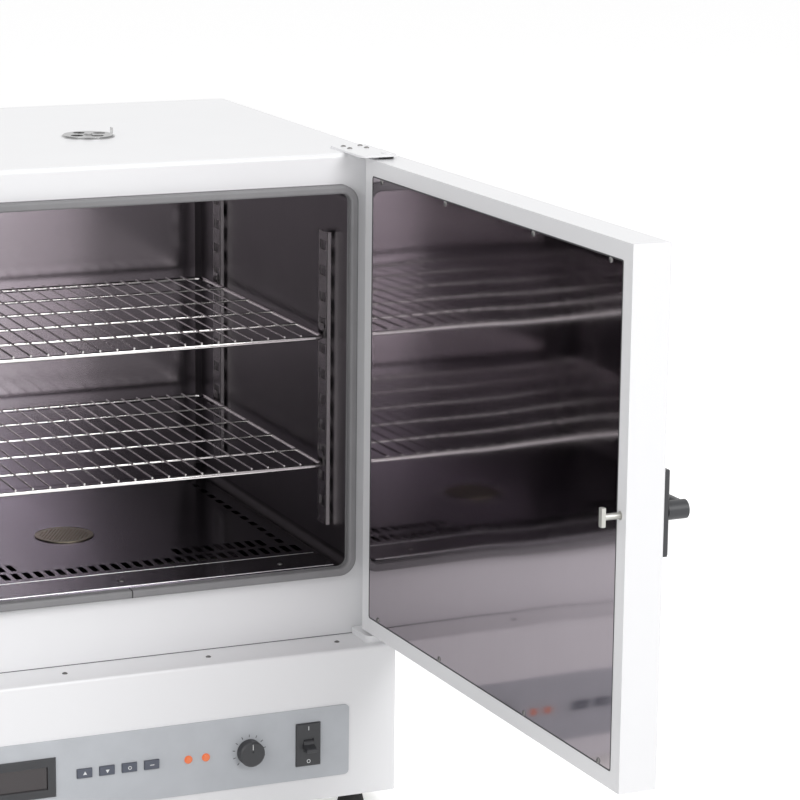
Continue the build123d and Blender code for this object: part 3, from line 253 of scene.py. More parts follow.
def rolledSteel(name, tone, roughness, along="Z", tint=steelLook["tint"],
                smear=steelLook["smear"], level=None, wall=0.0):
    # level is painted shade that dims the tone from place to place, wall is added to the side
    # walls' roughness
    look = steelLook
    finish = Finish(name, Metallic=1.0)
    drawn = tuple(look["drag"] if axis == along else look["grain"] for axis in "XYZ")
    grain = finish.noise(drawn, look["grainDetail"])
    smudge = finish.noise(look["smudge"], look["smudgeDetail"])
    wave = finish.noise(look["wave"], 0.0)
    shade = 1.0 - (grain + smudge) * look["shade"]
    if level:
        shade = shade * level(finish)
    finish.colour(shade, grey(0.0), grey(tone, *tint))
    # the two patterns add three quarters of the smear on average, which is taken off again
    rough = smudge * smear + grain * (smear * 0.5) + (roughness - smear * 0.75)
    if wall:
        rough = rough + (abs(finish.axis("X")) > paintedShadeLook["wallFrom"]) * wall
    finish.put("Roughness", rough)
    finish.bump(wave * look["waveRise"] + grain * look["grainRise"], 1.0, 1.0)
    return finish.material


# plated rod and small bright metal
platedLook = {
    "drift": 40.0, "driftDetail": 4.0, "worn": 0.78, "spread": 0.16, "tint": (1.0, 0.98, 0.96),
    "grain": 900.0, "bump": 0.04, "rise": 0.0001,
}


def platedMetal(name, tone, roughness, tint=platedLook["tint"]):
    look = platedLook
    finish = Finish(name, Metallic=1.0)
    drift = finish.noise(look["drift"], look["driftDetail"])
    finish.colour(drift, grey(tone, *tint), grey(tone * look["worn"], *tint))
    finish.roughen(drift, roughness, look["spread"])
    finish.bump(finish.noise(look["grain"]), look["bump"], look["rise"])
    return finish.material


# cast silicone with its butt seam at the middle of the lower run
siliconeLook = {
    "tone": 0.19, "dust": 0.25, "tint": (1, 0.99, 1.02), "drift": 25.0, "driftDetail": 4.0,
    "shine": 0.35, "roughness": 0.575, "spread": 0.15, "grain": 500.0, "bump": 0.08,
    "rise": 0.0002, "seamHalf": 0.0009, "seamBelow": 0.322, "seamTone": 0.03,
}


def castSilicone(name):
    look = siliconeLook
    finish = Finish(name, Specular_IOR_Level=look["shine"])
    drift = finish.noise(look["drift"], look["driftDetail"])
    clean, dusty = grey(look["tone"], *look["tint"]), grey(look["dust"], *look["tint"])
    seam = (abs(finish.axis("X")) < look["seamHalf"]) * (finish.axis("Z") < look["seamBelow"])
    finish.colour(seam, finish.blend(drift, clean, dusty), grey(look["seamTone"]))
    finish.roughen(drift, look["roughness"], look["spread"])
    finish.bump(finish.noise(look["grain"]), look["bump"], look["rise"])
    return finish.material


# moulded plastic with a fine spark texture
plasticLook = {
    "drift": 30.0, "worn": 0.85, "spread": 0.10, "spark": 1400.0, "sparkDetail": 2.0,
    "texture": 0.10, "rise": 0.0002,
}


def mouldedPlastic(name, colour, roughness, texture=plasticLook["texture"]):
    look = plasticLook
    finish = Finish(name)
    drift = finish.noise(look["drift"])
    finish.colour(drift, colour, darker(colour, look["worn"]))
    finish.roughen(drift, roughness, look["spread"])
    finish.bump(finish.noise(look["spark"], look["sparkDetail"]), texture, look["rise"])
    return finish.material


# mineral wool
woolLook = {
    "pale": (0.62, 0.58, 0.44, 1), "deep": (0.42, 0.37, 0.24, 1), "fibre": (60, 60, 400),
    "fibreDetail": 6.0, "roughness": 0.95, "sheen": 0.2, "bump": 0.6, "rise": 0.002,
}


def mineralWool(name):
    look = woolLook
    finish = Finish(name, Roughness=look["roughness"], Sheen_Weight=look["sheen"])
    fibre = finish.noise(look["fibre"], look["fibreDetail"])
    finish.colour(fibre, look["pale"], look["deep"])
    finish.bump(fibre, look["bump"], look["rise"])
    return finish.material


# clear pane and lamp lenses
lensLook = {
    "drift": 90.0, "worn": 0.7, "coat": 0.6, "coatRoughness": 0.05, "roughness": 0.14,
    "spread": 0.08,
}


def glowLens(name, colour, glow):
    look = lensLook
    finish = Finish(name, Emission_Color=colour, Emission_Strength=glow,
                    Coat_Weight=look["coat"], Coat_Roughness=look["coatRoughness"])
    drift = finish.noise(look["drift"])
    finish.colour(drift, colour, darker(colour, look["worn"]))
    finish.roughen(drift, look["roughness"], look["spread"])
    return finish.material


finishes = {
    "whitePaint": bakedPaint("bakedWhitePaint"),
    # the chamber and floor plate tones carry painted shade, darker towards the walls
    "chamber": rolledSteel("chamberSteel", 0.49, 0.19, wall=0.16,
                           level=lambda finish: paintedSideShade(finish, "tank")),
    "panel": rolledSteel("doorPanelSteel", 0.45, 0.07, "Z", (1.0, 0.90, 0.97), 0.03),
    "floor": rolledSteel("floorPlateSteel", 0.45, 0.19, "X", (0.96, 0.90, 1.06),
                         level=lambda finish: paintedSideShade(finish, "plate")),
    "post": rolledSteel("postSteel", 0.66, 0.24, "Z", (1.0, 0.94, 0.96), level=paintedWebShade),
    "hem": platedMetal("hemSteel", 0.92, 0.30, (1.0, 1.0, 1.0)),
    "vent": rolledSteel("ventSteel", 0.42, 0.30, "X", (1.0, 1.0, 1.0)),
    "wire": platedMetal("platedRod", 0.88, 0.16),
    # painted shade: the thin wires wear a darker copy of the rods' plating
    "thinWirePaintedShade": platedMetal("platedThinWire", 0.60, 0.22),
    "screw": platedMetal("screwSteel", 0.22, 0.35),
    "zinc": platedMetal("zincPlate", 0.55, 0.42, (1.0, 0.99, 0.93)),
    "heater": platedMetal("heaterSheath", 0.14, 0.55, (1.0, 0.9, 0.84)),
    "grille": platedMetal("intakeSteel", 0.36, 0.34, (1.0, 0.90, 0.68)),
    "aluminium": platedMetal("finAluminium", 0.62, 0.38, (1.0, 1.0, 1.0)),
    "seal": castSilicone("doorSilicone"),
    "rubber": mouldedPlastic("footRubber", (0.03, 0.03, 0.03, 1), 0.8, 0.2),
    "dark": mouldedPlastic("darkPlastic", (0.035, 0.036, 0.04, 1), 0.42),
    # a dark plastic for painted shade lines (the casing's foot joint, the door panel's edge) and
    # for the printed dial ticks
    "gap": mouldedPlastic("jointSealant", (0.05, 0.05, 0.055, 1), 0.7, 0.02),
    "nylon": mouldedPlastic("blackNylon", (0.02, 0.02, 0.022, 1), 0.5),
    "light": mouldedPlastic("fasciaPlastic", (0.50, 0.52, 0.55, 1), 0.5),
    "keys": mouldedPlastic("keyPlastic", (0.09, 0.10, 0.13, 1), 0.55),
    "mark": mouldedPlastic("printedMark", (0.78, 0.79, 0.80, 1), 0.5, 0.02),
    "board": mouldedPlastic("boardGreen", (0.03, 0.16, 0.06, 1), 0.4),
    "wool": mineralWool("mineralWool"),
    "pane": glowLens("displayPane", (0.02, 0.012, 0.014, 1), 0.0),
    "lamp": glowLens("lampLens", (0.75, 0.16, 0.04, 1), 0.25),
}
print("finishes made:", len(finishes))

# which CAD nodes wear which finish
dressed = {
    "whitePaint": "outer_casing lower_housing back_panel door_shell hinge_top_arm "
                  "hinge_bottom_plate hinge_top_pin",
    "chamber": "chamber_tank",
    "panel": "door_inner_panel",
    "floor": "sill_plate floor_plate",
    "post": "shelf_post_left_front shelf_post_left_rear shelf_post_right_front "
            "shelf_post_right_rear shelf_clips_lower shelf_clips_upper temperature_probes",
    "vent": "exhaust_plate exhaust_shutter exhaust_rivet exhaust_duct intake_duct",
    "wire": "wire_shelf_lower wire_shelf_upper",
    "screw": "cabinet_screws door_panel_screws",
    "zinc": "base_plate heater_brackets hinge_bottom_pin latch_keeper latch_spindle",
    "heater": "heater_elements",
    "grille": "intake_grille",
    "aluminium": "relay_module",
    "seal": "door_gasket",
    "rubber": "feet",
    "dark": "display_bezel breaker_body breaker_toggle overheat_dial cord_gland "
            "handle_rose handle_lever",
    "nylon": "hinge_bushes board_spacers",
    "light": "control_fascia terminal_block overheat_thermostat",
    "keys": "key_1 key_2 key_3 key_4",
    "board": "control_board",
    "wool": "chamber_insulation door_insulation",
    "pane": "display_window",
    "lamp": "pilot_lamps",
}


def dressNodes():
    done = set()
    for finish, names in dressed.items():
        for name in names.split():
            for slot in cadNodes[name].material_slots:
                slot.material = finishes[finish]
            done.add(name)
    left = sorted(set(cadNodes) - done)
    print("nodes dressed:", len(done), "left plain:", left)


dressNodes()

through = 4  # a drill is this many sheets long
frontwards = Matrix.Rotation(math.pi / 2, 4, "X")  # turns what points up to the front
backwards = Matrix.Rotation(-math.pi / 2, 4, "X")


# a shape under construction in geometry nodes
class Shape(Maker):
    kinds = {int: "NodeSocketInt", float: "NodeSocketFloat", tuple: "NodeSocketVector"}

    def __init__(self, name, sizes):
        super().__init__(bpy.data.node_groups.new(name, "GeometryNodeTree"))
        self.sizes = sizes
        face = self.tree.interface
        face.new_socket(name="Points", in_out="INPUT", socket_type="NodeSocketGeometry")
        face.new_socket(name="Shape", in_out="OUTPUT", socket_type="NodeSocketGeometry")
        for key, value in sizes.items():
            face.new_socket(name=key, in_out="INPUT", socket_type=self.kinds[type(value)])
        self.entry = self.tree.nodes.new("NodeGroupInput")

    def get(self, key):
        return Value(self, self.entry.outputs[key])

    def vector(self, x=0.0, y=0.0, z=0.0):
        return self.add("ShaderNodeCombineXYZ", None, {0: x, 1: y, 2: z})

    def line(self, half, axis):
        # a straight line along one axis, with its middle at the origin
        ends = {"Start": self.vector(**{axis: half * -1}), "End": self.vector(**{axis: half})}
        return self.add("GeometryNodeCurvePrimitiveLine", None, ends)

    def circle(self, radius, sides):
        sizes = {"Resolution": sides, "Radius": radius}
        return self.add("GeometryNodeCurvePrimitiveCircle", None, sizes)

    def strip(self, width, height):
        sizes = {"Width": width, "Height": height}
        return self.add("GeometryNodeCurvePrimitiveQuadrilateral", None, sizes)

    def rounded(self, curve, bend, steps):
        inputs = {"Curve": curve, "Radius": bend, "Count": steps}
        return self.add("GeometryNodeFilletCurve", {"mode": "POLY"}, inputs)

    def loop(self, width, height, bend, steps):
        return self.rounded(self.strip(width, height), bend, steps)

    def track(self, bend, steps):
        # the seed points joined by a line, its corners rounded
        dots = self.add("GeometryNodeMeshToPoints", None, {"Mesh": self.get("Points")})
        return self.rounded(self.add("GeometryNodePointsToCurves", None, {"Points": dots}),
                            bend, steps)

    def sweep(self, path, profile):
        inputs = {"Curve": path, "Profile Curve": profile, "Fill Caps": True}
        return self.add("GeometryNodeCurveToMesh", None, inputs)

    def tube(self, path, radius, sides):
        return self.sweep(path, self.circle(radius, sides))

    def moved(self, part, x=0.0, y=0.0, z=0.0, scale=(1.0, 1.0, 1.0)):
        place = {"Geometry": part, "Translation": self.vector(x, y, z), "Scale": scale}
        return self.add("GeometryNodeTransform", None, place)

    def block(self, x, y, z):
        return self.add("GeometryNodeMeshCube", None, {"Size": self.vector(x, y, z)})

    def rod(self, radius, height, sides):
        sizes = {"Vertices": sides, "Radius": radius, "Depth": height}
        return self.add("GeometryNodeMeshCylinder", None, sizes)

    def cut(self, body, tools):
        inputs = {0: body, 1: tools}
        return self.add("GeometryNodeMeshBoolean", {"operation": "DIFFERENCE"}, inputs)

    def spread(self, part, points, **more):
        inputs = {"Points": points, "Instance": part}
        inputs.update(more)
        return self.add("GeometryNodeInstanceOnPoints", None, inputs)

    def real(self, part):
        return self.add("GeometryNodeRealizeInstances", None, {0: part})

    def row(self, part, count, step):
        # copies of a part, a step apart, with their middle at the origin
        start = self.vector(*[(count - 1) * s * -0.5 for s in step])
        inputs = {"Count": count, "Start Location": start, "Offset": self.vector(*step)}
        return self.spread(part, self.add("GeometryNodeMeshLine", None, inputs))

    def ownLength(self):
        # the number that each seed point was given in build
        inputs = {"Name": "length"}
        return self.add("GeometryNodeInputNamedAttribute", {"data_type": "FLOAT"}, inputs)

    def painted(self, parts, material, smooth=True):
        joined = self.add("GeometryNodeJoinGeometry", None, {0: parts})
        shading = {"Geometry": self.real(joined), "Shade Smooth": smooth}
        shaded = self.add("GeometryNodeSetShadeSmooth", None, shading)
        paint = {"Geometry": shaded, "Material": material}
        return self.add("GeometryNodeSetMaterial", None, paint)

    def close(self, parts, material, smooth=True, others=()):
        # others are painted parts that keep their own material
        whole = self.painted(parts, material, smooth)
        if others:
            whole = self.add("GeometryNodeJoinGeometry", None, {0: [whole, *others]})
        self.add("NodeGroupOutput", None, {0: whole})

    def build(self, name, points=((0, 0, 0),), lengths=None):
        # the tree's result on the seed points, as a plain mesh
        seed = bpy.data.meshes.new(name + "Points")
        seed.from_pydata([tuple(p) for p in points], [], [])
        if lengths:
            attribute = seed.attributes.new("length", "FLOAT", "POINT")
            attribute.data.foreach_set("value", lengths)
        holder = bpy.data.objects.new(name + "Holder", seed)
        scene.collection.objects.link(holder)
        modifier = holder.modifiers.new(name, "NODES")
        modifier.node_group = self.tree
        for item in self.tree.interface.items_tree:
            if item.in_out == "INPUT" and item.name in self.sizes:
                modifier[item.identifier] = self.sizes[item.name]
        graph = bpy.context.evaluated_depsgraph_get()
        mesh = bpy.data.meshes.new_from_object(holder.evaluated_get(graph))
        bpy.data.objects.remove(holder)
        piece = bpy.data.objects.new(name, mesh)
        scene.collection.objects.link(piece)
        return piece


# puts a made piece in its place and on its body
def settle(piece, place, body, nodeName=None):
    piece.data.transform(place)
    if nodeName:
        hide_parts(nodeName)
    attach(piece, body)
    print("made:", piece.name, len(piece.data.polygons), "faces")


# the boxes of a CAD node's separate solids, after a turn; corners nearer than this are one
cornerReach = 0.000005


def solidBoxes(nodeName, turn):
    copy = bmesh.new()
    copy.from_mesh(cadNodes[nodeName].data)
    copy.transform(turn)
    bmesh.ops.remove_doubles(copy, verts=copy.verts, dist=cornerReach)
    left, boxes = set(copy.verts), []
    while left:
        reached = [left.pop()]
        for vert in reached:
            near = {edge.other_vert(vert) for edge in vert.link_edges} & left
            left -= near
            reached += near
        spots = [tuple(round(c, 6) for c in vert.co) for vert in reached]
        boxes.append(tuple(tuple(pick(axis) for axis in zip(*spots)) for pick in (min, max)))
    copy.free()
    return sorted(boxes)


# welded wire shelf: rounded frame rod, cross rods and thin wires on top; a wire's middle
# stands its seat times its radius above the cross rods' tops
shelf = {
    "frameRod": 0.003, "frameSides": 14, "bend": 0.014, "bendSteps": 7,
    "crossRod": 0.002, "crossSides": 10, "crossCount": 4,
    "wire": 0.00135, "wireSides": 8, "wireCount": 23, "wirePitch": 0.0229, "seat": 0.9,
}


def wireShelf(nodeName, body, name):
    low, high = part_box(nodeName)
    rod = shelf["frameRod"]
    width, depth = high.x - low.x - 2 * rod, high.y - low.y - 2 * rod
    shape = Shape(name, {
        "Width": width, "Depth": depth, "Bend": shelf["bend"],
        "Frame Radius": rod, "Cross Radius": shelf["crossRod"], "Wire Radius": shelf["wire"],
        "Cross Count": shelf["crossCount"], "Cross Step": depth / (shelf["crossCount"] + 1),
        "Wire Count": shelf["wireCount"], "Wire Pitch": shelf["wirePitch"],
    })
    width, depth, bend = (shape.get(key) for key in ("Width", "Depth", "Bend"))
    frameRod, crossRod, wire = (shape.get(key + " Radius") for key in ("Frame", "Cross", "Wire"))
    rim = shape.tube(shape.loop(width, depth, bend, shelf["bendSteps"]), frameRod,
                     shelf["frameSides"])
    crossRods = shape.row(shape.tube(shape.line(width * 0.5, "x"), crossRod, shelf["crossSides"]),
                          shape.get("Cross Count"), (0.0, shape.get("Cross Step"), 0.0))
    wires = shape.row(shape.tube(shape.line(depth * 0.5, "y"), wire, shelf["wireSides"]),
                      shape.get("Wire Count"), (shape.get("Wire Pitch"), 0.0, 0.0))
    wires = shape.moved(wires, z=frameRod + wire * shelf["seat"])
    # the thin wires take the darker plating, which is painted shade
    thin = shape.painted([wires], finishes["thinWirePaintedShade"])
    crossRods = shape.moved(crossRods, z=frameRod - crossRod)
    shape.close([rim, crossRods], finishes["wire"], others=[thin])
    middle = (low + high) / 2
    place = Matrix.Translation((middle.x, middle.y, low.z + rod))
    settle(shape.build(name), place, body, nodeName)


wireShelf("wire_shelf_lower", "shelf_lower", "wireShelfLower")
wireShelf("wire_shelf_upper", "shelf_upper", "wireShelfUpper")

# pan-head screws with a cross recess, each turned its own way
screw = {
    "headRadius": 0.0036, "headRise": 0.0018, "headSides": 18, "headRings": 10,
    "recessLong": 0.0040, "recessWide": 0.0009, "recessDeep": 0.0011,
    "shankRadius": 0.0017, "shankSides": 10, "seed": 5,
}


def panScrews(name, tops, lengths, place, body, nodeName=None):
    # tops are the places under the heads, which point up before the screws go to their place
    shape = Shape(name, {
        "Head Radius": screw["headRadius"], "Head Rise": screw["headRise"],
        "Recess Long": screw["recessLong"], "Recess Wide": screw["recessWide"],
        "Recess Deep": screw["recessDeep"], "Shank Radius": screw["shankRadius"],
        "Seed": screw["seed"],
    })
    radius, rise = shape.get("Head Radius"), shape.get("Head Rise")
    ballSizes = {"Segments": screw["headSides"], "Rings": screw["headRings"], "Radius": radius}
    ball = shape.add("GeometryNodeMeshUVSphere", None, ballSizes)
    dome = shape.moved(ball, scale=shape.vector(1.0, 1.0, rise / radius))
    # the block takes the dome's lower half, the two slots make the cross
    below = shape.moved(shape.block(radius * 3, radius * 3, radius * 2), z=radius * -1)
    long, wide, deep = (shape.get("Recess " + word) for word in ("Long", "Wide", "Deep"))
    slots = [shape.moved(shape.block(x, y, deep * 2), z=rise)
             for x, y in ((long, wide), (wide, long))]
    head = shape.cut(dome, [below] + slots)
    # a shank one long, stretched to each screw's own length
    shank = shape.moved(shape.rod(shape.get("Shank Radius"), 1.0, screw["shankSides"]), z=-0.5)
    # a cross looks the same again after a quarter turn; 1 is the float output
    turn = shape.add("FunctionNodeRandomValue", {"data_type": "FLOAT"},
                     {"Max": math.pi / 2, "Seed": shape.get("Seed")}, 1)
    stretch = shape.vector(1.0, 1.0, shape.ownLength())
    points = shape.get("Points")
    heads = shape.spread(head, points, Rotation=shape.vector(z=turn))
    shanks = shape.spread(shank, points, Scale=stretch)
    shape.close([heads, shanks], finishes["screw"], False)
    settle(shape.build(name, tops, lengths), place, body, nodeName)


def nodeScrews(nodeName, name, body, stand):
    # stand turns the node's screws heads up
    boxes = solidBoxes(nodeName, stand)
    rise = screw["headRise"]
    tops = [((low[0] + high[0]) / 2, (low[1] + high[1]) / 2, high[2] - rise)
            for low, high in boxes]
    lengths = [high[2] - rise - low[2] for low, high in boxes]
    panScrews(name, tops, lengths, stand.inverted(), body, nodeName)


def closingTurn():
    # turns the open door's pieces back to the closed pose
    hinge = next(joint for joint in frame["joints"] if joint["name"] == "door_hinge")
    turn = Matrix.Rotation(math.radians(hinge["range_deg"][0]), 4, Vector(hinge["axis"]))
    pivot = Matrix.Translation(hinge["pos_m"])
    return pivot @ turn @ pivot.inverted()


nodeScrews("cabinet_screws", "cabinetScrews", "cabinet", Matrix())
nodeScrews("door_panel_screws", "doorPanelScrews", "door", frontwards @ closingTurn())

# the back: screws round the panel and along the housing, and the casing's hem round the panel
backLook = {
    "inset": 0.016, "columns": (-1, 0, 1), "rows": (0, 0.5, 1), "housingUp": 0.014,
    "short": 0.004, "hemIn": 0.0002, "hemThick": 0.0009, "hemSteps": 6,
}


def backScrews():
    low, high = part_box("back_panel")
    inset, middle = backLook["inset"], (low + high) / 2
    across, foot = high.x - middle.x - inset, low.z + inset
    # the panel's centre has none
    spots = [(middle.x + column * across, foot + row * (high.z - inset - foot))
             for column in backLook["columns"] for row in backLook["rows"]
             if column or row != 0.5]
    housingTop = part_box("lower_housing")[1].z
    spots += [(column * across, housingTop - backLook["housingUp"])
              for column in backLook["columns"]]
    tops = [(x, -z, high.y) for x, z in spots]
    lengths = [backLook["short"]] * len(tops)
    panScrews("backScrews", tops, lengths, backwards, "cabinet")


def backHem():
    low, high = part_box("back_panel")
    casingLow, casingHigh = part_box("outer_casing")
    wide, foot = casingHigh.x - backLook["hemIn"] - high.x, casingLow.z
    thick = backLook["hemThick"]
    shape = Shape("backHem", {"Wide": wide, "Thick": thick, "Steps": backLook["hemSteps"]})
    path = shape.track(shape.get("Wide") * 0.5, shape.get("Steps"))
    strip = shape.strip(shape.get("Wide"), shape.get("Thick"))
    shape.close([shape.sweep(path, strip)], finishes["whitePaint"], False)
    across, top = high.x + wide / 2, high.z + wide / 2 - foot
    corners = [(-across, 0, 0), (-across, top, 0), (across, top, 0), (across, 0, 0)]
    place = Matrix.Translation((0, low.y + thick / 2, foot)) @ frontwards
    settle(shape.build("backHem", corners), place, "cabinet")


backScrews()
backHem()

# silicone door seal: a flat root in its holder and a rounded bulb before it
seal = {
    "width": 0.0115, "bend": 0.0175, "bendSteps": 10, "root": 0.0030,
    "bulbInset": 0.0004, "bulbRound": 0.0034, "bulbSteps": 5,
}


def doorSeal():
    low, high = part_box("door_gasket")
    shape = Shape("doorSeal", {
        "Width": high.x - low.x, "Height": high.z - low.z, "Depth": high.y - low.y,
        "Lip": seal["width"], "Bend": seal["bend"], "Root": seal["root"],
        "Inset": seal["bulbInset"], "Round": seal["bulbRound"],
    })
    lip, depth, root = (shape.get(key) for key in ("Lip", "Depth", "Root"))
    path = shape.loop(shape.get("Width") - lip, shape.get("Height") - lip, shape.get("Bend"),
                      seal["bendSteps"])
    bulb = shape.loop(lip - shape.get("Inset") * 2, depth - root, shape.get("Round"),
                      seal["bulbSteps"])
    parts = [shape.moved(shape.sweep(path, shape.strip(lip, root)), z=root * 0.5),
             shape.moved(shape.sweep(path, bulb), z=(depth + root) * 0.5)]
    shape.close(parts, finishes["seal"], False)
    middle = (low + high) / 2
    place = Matrix.Translation((middle.x, high.y, middle.z)) @ frontwards
    settle(shape.build("doorSeal"), place, "cabinet", "door_gasket")


doorSeal()

# perforated intake grille with a rolled rim
grille = {
    "sheet": 0.0008, "sides": 72, "rim": 0.0009, "rimSides": 10,
    "hole": 0.0016, "holeSides": 10, "pitch": 0.0052, "bored": 0.0345,
}


def intakeGrille():
    low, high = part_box("intake_grille")
    middle = (low + high) / 2
    pitch, reach = grille["pitch"], int(grille["bored"] / grille["pitch"]) + 1
    across = range(-2 * reach, 2 * reach + 1)
    spots = [((i + j / 2) * pitch, j * pitch * math.sqrt(3) / 2, 0.0)
             for j in across for i in across]
    spots = [spot for spot in spots if math.hypot(*spot) < grille["bored"] - grille["hole"]]
    shape = Shape("intakeGrille", {
        "Radius": (high.x - low.x) / 2, "Sheet": grille["sheet"], "Rim": grille["rim"],
        "Hole": grille["hole"],
    })
    radius, sheet, rim = (shape.get(key) for key in ("Radius", "Sheet", "Rim"))
    hole = shape.rod(shape.get("Hole"), sheet * through, grille["holeSides"])
    drill = shape.real(shape.spread(hole, shape.get("Points")))
    plate = shape.cut(shape.rod(radius - rim, sheet, grille["sides"]), [drill])
    edge = shape.tube(shape.circle(radius - rim, grille["sides"]), rim, grille["rimSides"])
    shape.close([plate, edge], finishes["grille"], False)
    place = Matrix.Translation((middle.x, middle.y, high.z - grille["rim"]))
    settle(shape.build("intakeGrille", spots), place, "cabinet", "intake_grille")


intakeGrille()

# slotted floor plate: a full row of slots in front, a short second row at each side, one row
# along each wall, whose slots are shorter
floorLook = {
    "slotWide": 0.0088, "slotLong": 0.030, "wallSlot": 0.65, "slotBend": 0.002, "slotSteps": 3,
    "pitch": 0.015, "front": 0.098, "second": 0.139, "secondFrom": 0.115,
    "side": 0.262, "sidePitch": 0.033, "sideCount": 12, "margin": 0.013,
    "hole": 0.036, "holeSides": 64, "sheet": 0.0012, "foldIn": 0.0113,
}


def slotSpots(half, face):
    # face is the casing's front, from which the rows are measured
    look = floorLook
    pitch, second = look["pitch"], face + look["second"]
    count = int((half - look["margin"]) / pitch)
    spots = [(i * pitch, face + look["front"], 0.0) for i in range(-count, count + 1)]
    short = int((look["side"] - look["secondFrom"]) / pitch)
    for side in (-1, 1):
        spots += [(side * (look["secondFrom"] + i * pitch), second, 0.0) for i in range(short)]
        spots += [(side * look["side"], second + i * look["sidePitch"], 0.0)
                  for i in range(look["sideCount"])]
    return spots


def slottedFloor():
    low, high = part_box("floor_plate")
    grilleLow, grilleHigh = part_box("intake_grille")
    middle, centre = (low + high) / 2, (grilleLow + grilleHigh) / 2
    shape = Shape("slottedFloor", {
        "Width": high.x - low.x, "Depth": high.y - low.y, "Fold": high.z - low.z,
        "Sheet": floorLook["sheet"], "Slot Wide": floorLook["slotWide"],
        "Slot Long": floorLook["slotLong"], "Slot Bend": floorLook["slotBend"],
        "Hole": floorLook["hole"], "Fold In": floorLook["foldIn"],
    })
    width, depth, fold, sheet = (shape.get(key) for key in ("Width", "Depth", "Fold", "Sheet"))
    slot = shape.loop(shape.get("Slot Wide"), shape.get("Slot Long"), shape.get("Slot Bend"),
                      floorLook["slotSteps"])
    drill = shape.sweep(shape.line(sheet * (through / 2), "z"), slot)
    drill = shape.real(shape.spread(drill, shape.get("Points"),
                                    Scale=shape.vector(1.0, shape.ownLength(), 1.0)))
    hole = shape.rod(shape.get("Hole"), sheet * through, floorLook["holeSides"])
    hole = shape.moved(hole, x=centre.x, y=centre.y)
    top = shape.moved(shape.block(width, depth, sheet), y=middle.y, z=sheet * -0.5)
    lip = shape.moved(shape.block(width - shape.get("Fold In") * 2, sheet, fold - sheet),
                      y=sheet * 0.5 + low.y, z=(fold + sheet) * -0.5)
    shape.close([shape.cut(top, [drill, hole]), lip], finishes["floor"], False)
    spots = slotSpots(high.x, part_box("outer_casing")[0].y)
    shares = [floorLook["wallSlot"] if abs(spot[0]) == floorLook["side"] else 1.0
              for spot in spots]
    place = Matrix.Translation((0, 0, high.z))
    settle(shape.build("slottedFloor", spots, shares), place, "cabinet", "floor_plate")


slottedFloor()

# straight beads along the top or foot edge of a node's front: the bright rolled hems of sill and
# floor plate, and a dark bead in the joint at the casing's foot, which is painted shade
beadSides = 10
beads = {
    "sillHem": {"node": "sill_plate", "edge": "top", "inward": 0.0011, "up": -0.00033,
                "radius": 0.0011, "short": 0.002, "finish": "hem", "slot": "stainless"},
    "floorHem": {"node": "floor_plate", "edge": "top", "inward": 0.0006, "up": -0.00018,
                 "radius": 0.0006, "short": 0.004, "finish": "hem", "slot": "stainless"},
    "footJoint": {"node": "outer_casing", "edge": "foot", "inward": -0.0001, "up": 0.00025,
                  "radius": 0.0005, "short": 0.004, "finish": "gap", "slot": None},
}


def straightBead(name, bead):
    low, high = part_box(bead["node"])
    shape = Shape(name, {"Half": (high.x - low.x) / 2 - bead["short"], "Radius": bead["radius"]})
    tube = shape.tube(shape.line(shape.get("Half"), "x"), shape.get("Radius"), beadSides)
    shape.close([tube], finishes[bead["finish"]])
    edge = high if bead["edge"] == "top" else low
    place = Matrix.Translation((0.0, low.y + bead["inward"], edge.z + bead["up"]))
    settle(shape.build(name), place, "cabinet")


for beadName, bead in beads.items():
    straightBead(beadName, bead)

# painted shade: a dark line round the door's inner panel, where its edge turns in
panelLine = {"width": 0.0016, "rise": 0.0003, "bend": 0.003, "bendSteps": 4}


def panelSeam():
    closing = closingTurn()
    (low, high), = solidBoxes("door_inner_panel", closing)
    shape = Shape("panelSeam", {
        "Width": high[0] - low[0], "Height": high[2] - low[2], "Line": panelLine["width"],
        "Rise": panelLine["rise"], "Bend": panelLine["bend"],
    })
    path = shape.loop(shape.get("Width"), shape.get("Height"), shape.get("Bend"),
                      panelLine["bendSteps"])
    strip = shape.strip(shape.get("Line"), shape.get("Rise") * 2)
    shape.close([shape.sweep(path, strip)], finishes["gap"], False)
    middle = [(a + b) / 2 for a, b in zip(low, high)]
    place = Matrix.Translation((middle[0], high[1], middle[2])) @ frontwards
    settle(shape.build("panelSeam"), closing.inverted() @ place, "door")


panelSeam()

# printed marks on the controls: a bar, a ring or an arrow, each thin and on the front of its node
marks = {
    "keyMark1": {"on": "key_1", "body": "key_1", "kind": "arrow", "turn": 90, "size": 0.0030},
    "keyMark2": {"on": "key_2", "body": "key_2", "kind": "arrow", "turn": -90, "size": 0.0030},
    "keyMark3": {"on": "key_3", "body": "key_3", "kind": "ring", "turn": 0, "size": 0.0024},
    "keyMark4": {"on": "key_4", "body": "key_4", "kind": "bar", "turn": 90, "size": 0.0055},
    "breakerOnMark": {"on": "breaker_body", "body": "cabinet", "kind": "bar", "turn": 0,
                      "size": 0.0055, "up": 0.0225},
    "breakerOffMark": {"on": "breaker_body", "body": "cabinet", "kind": "ring", "turn": 0,
                       "size": 0.0026, "up": -0.0225},
    "dialPointer": {"on": "overheat_dial", "body": "dial", "kind": "bar", "turn": 0,
                    "size": 0.0075, "up": 0.0100},
}
markLook = {"rise": 0.00015, "line": 0.0010, "ringLine": 0.8, "ringSides": 28}


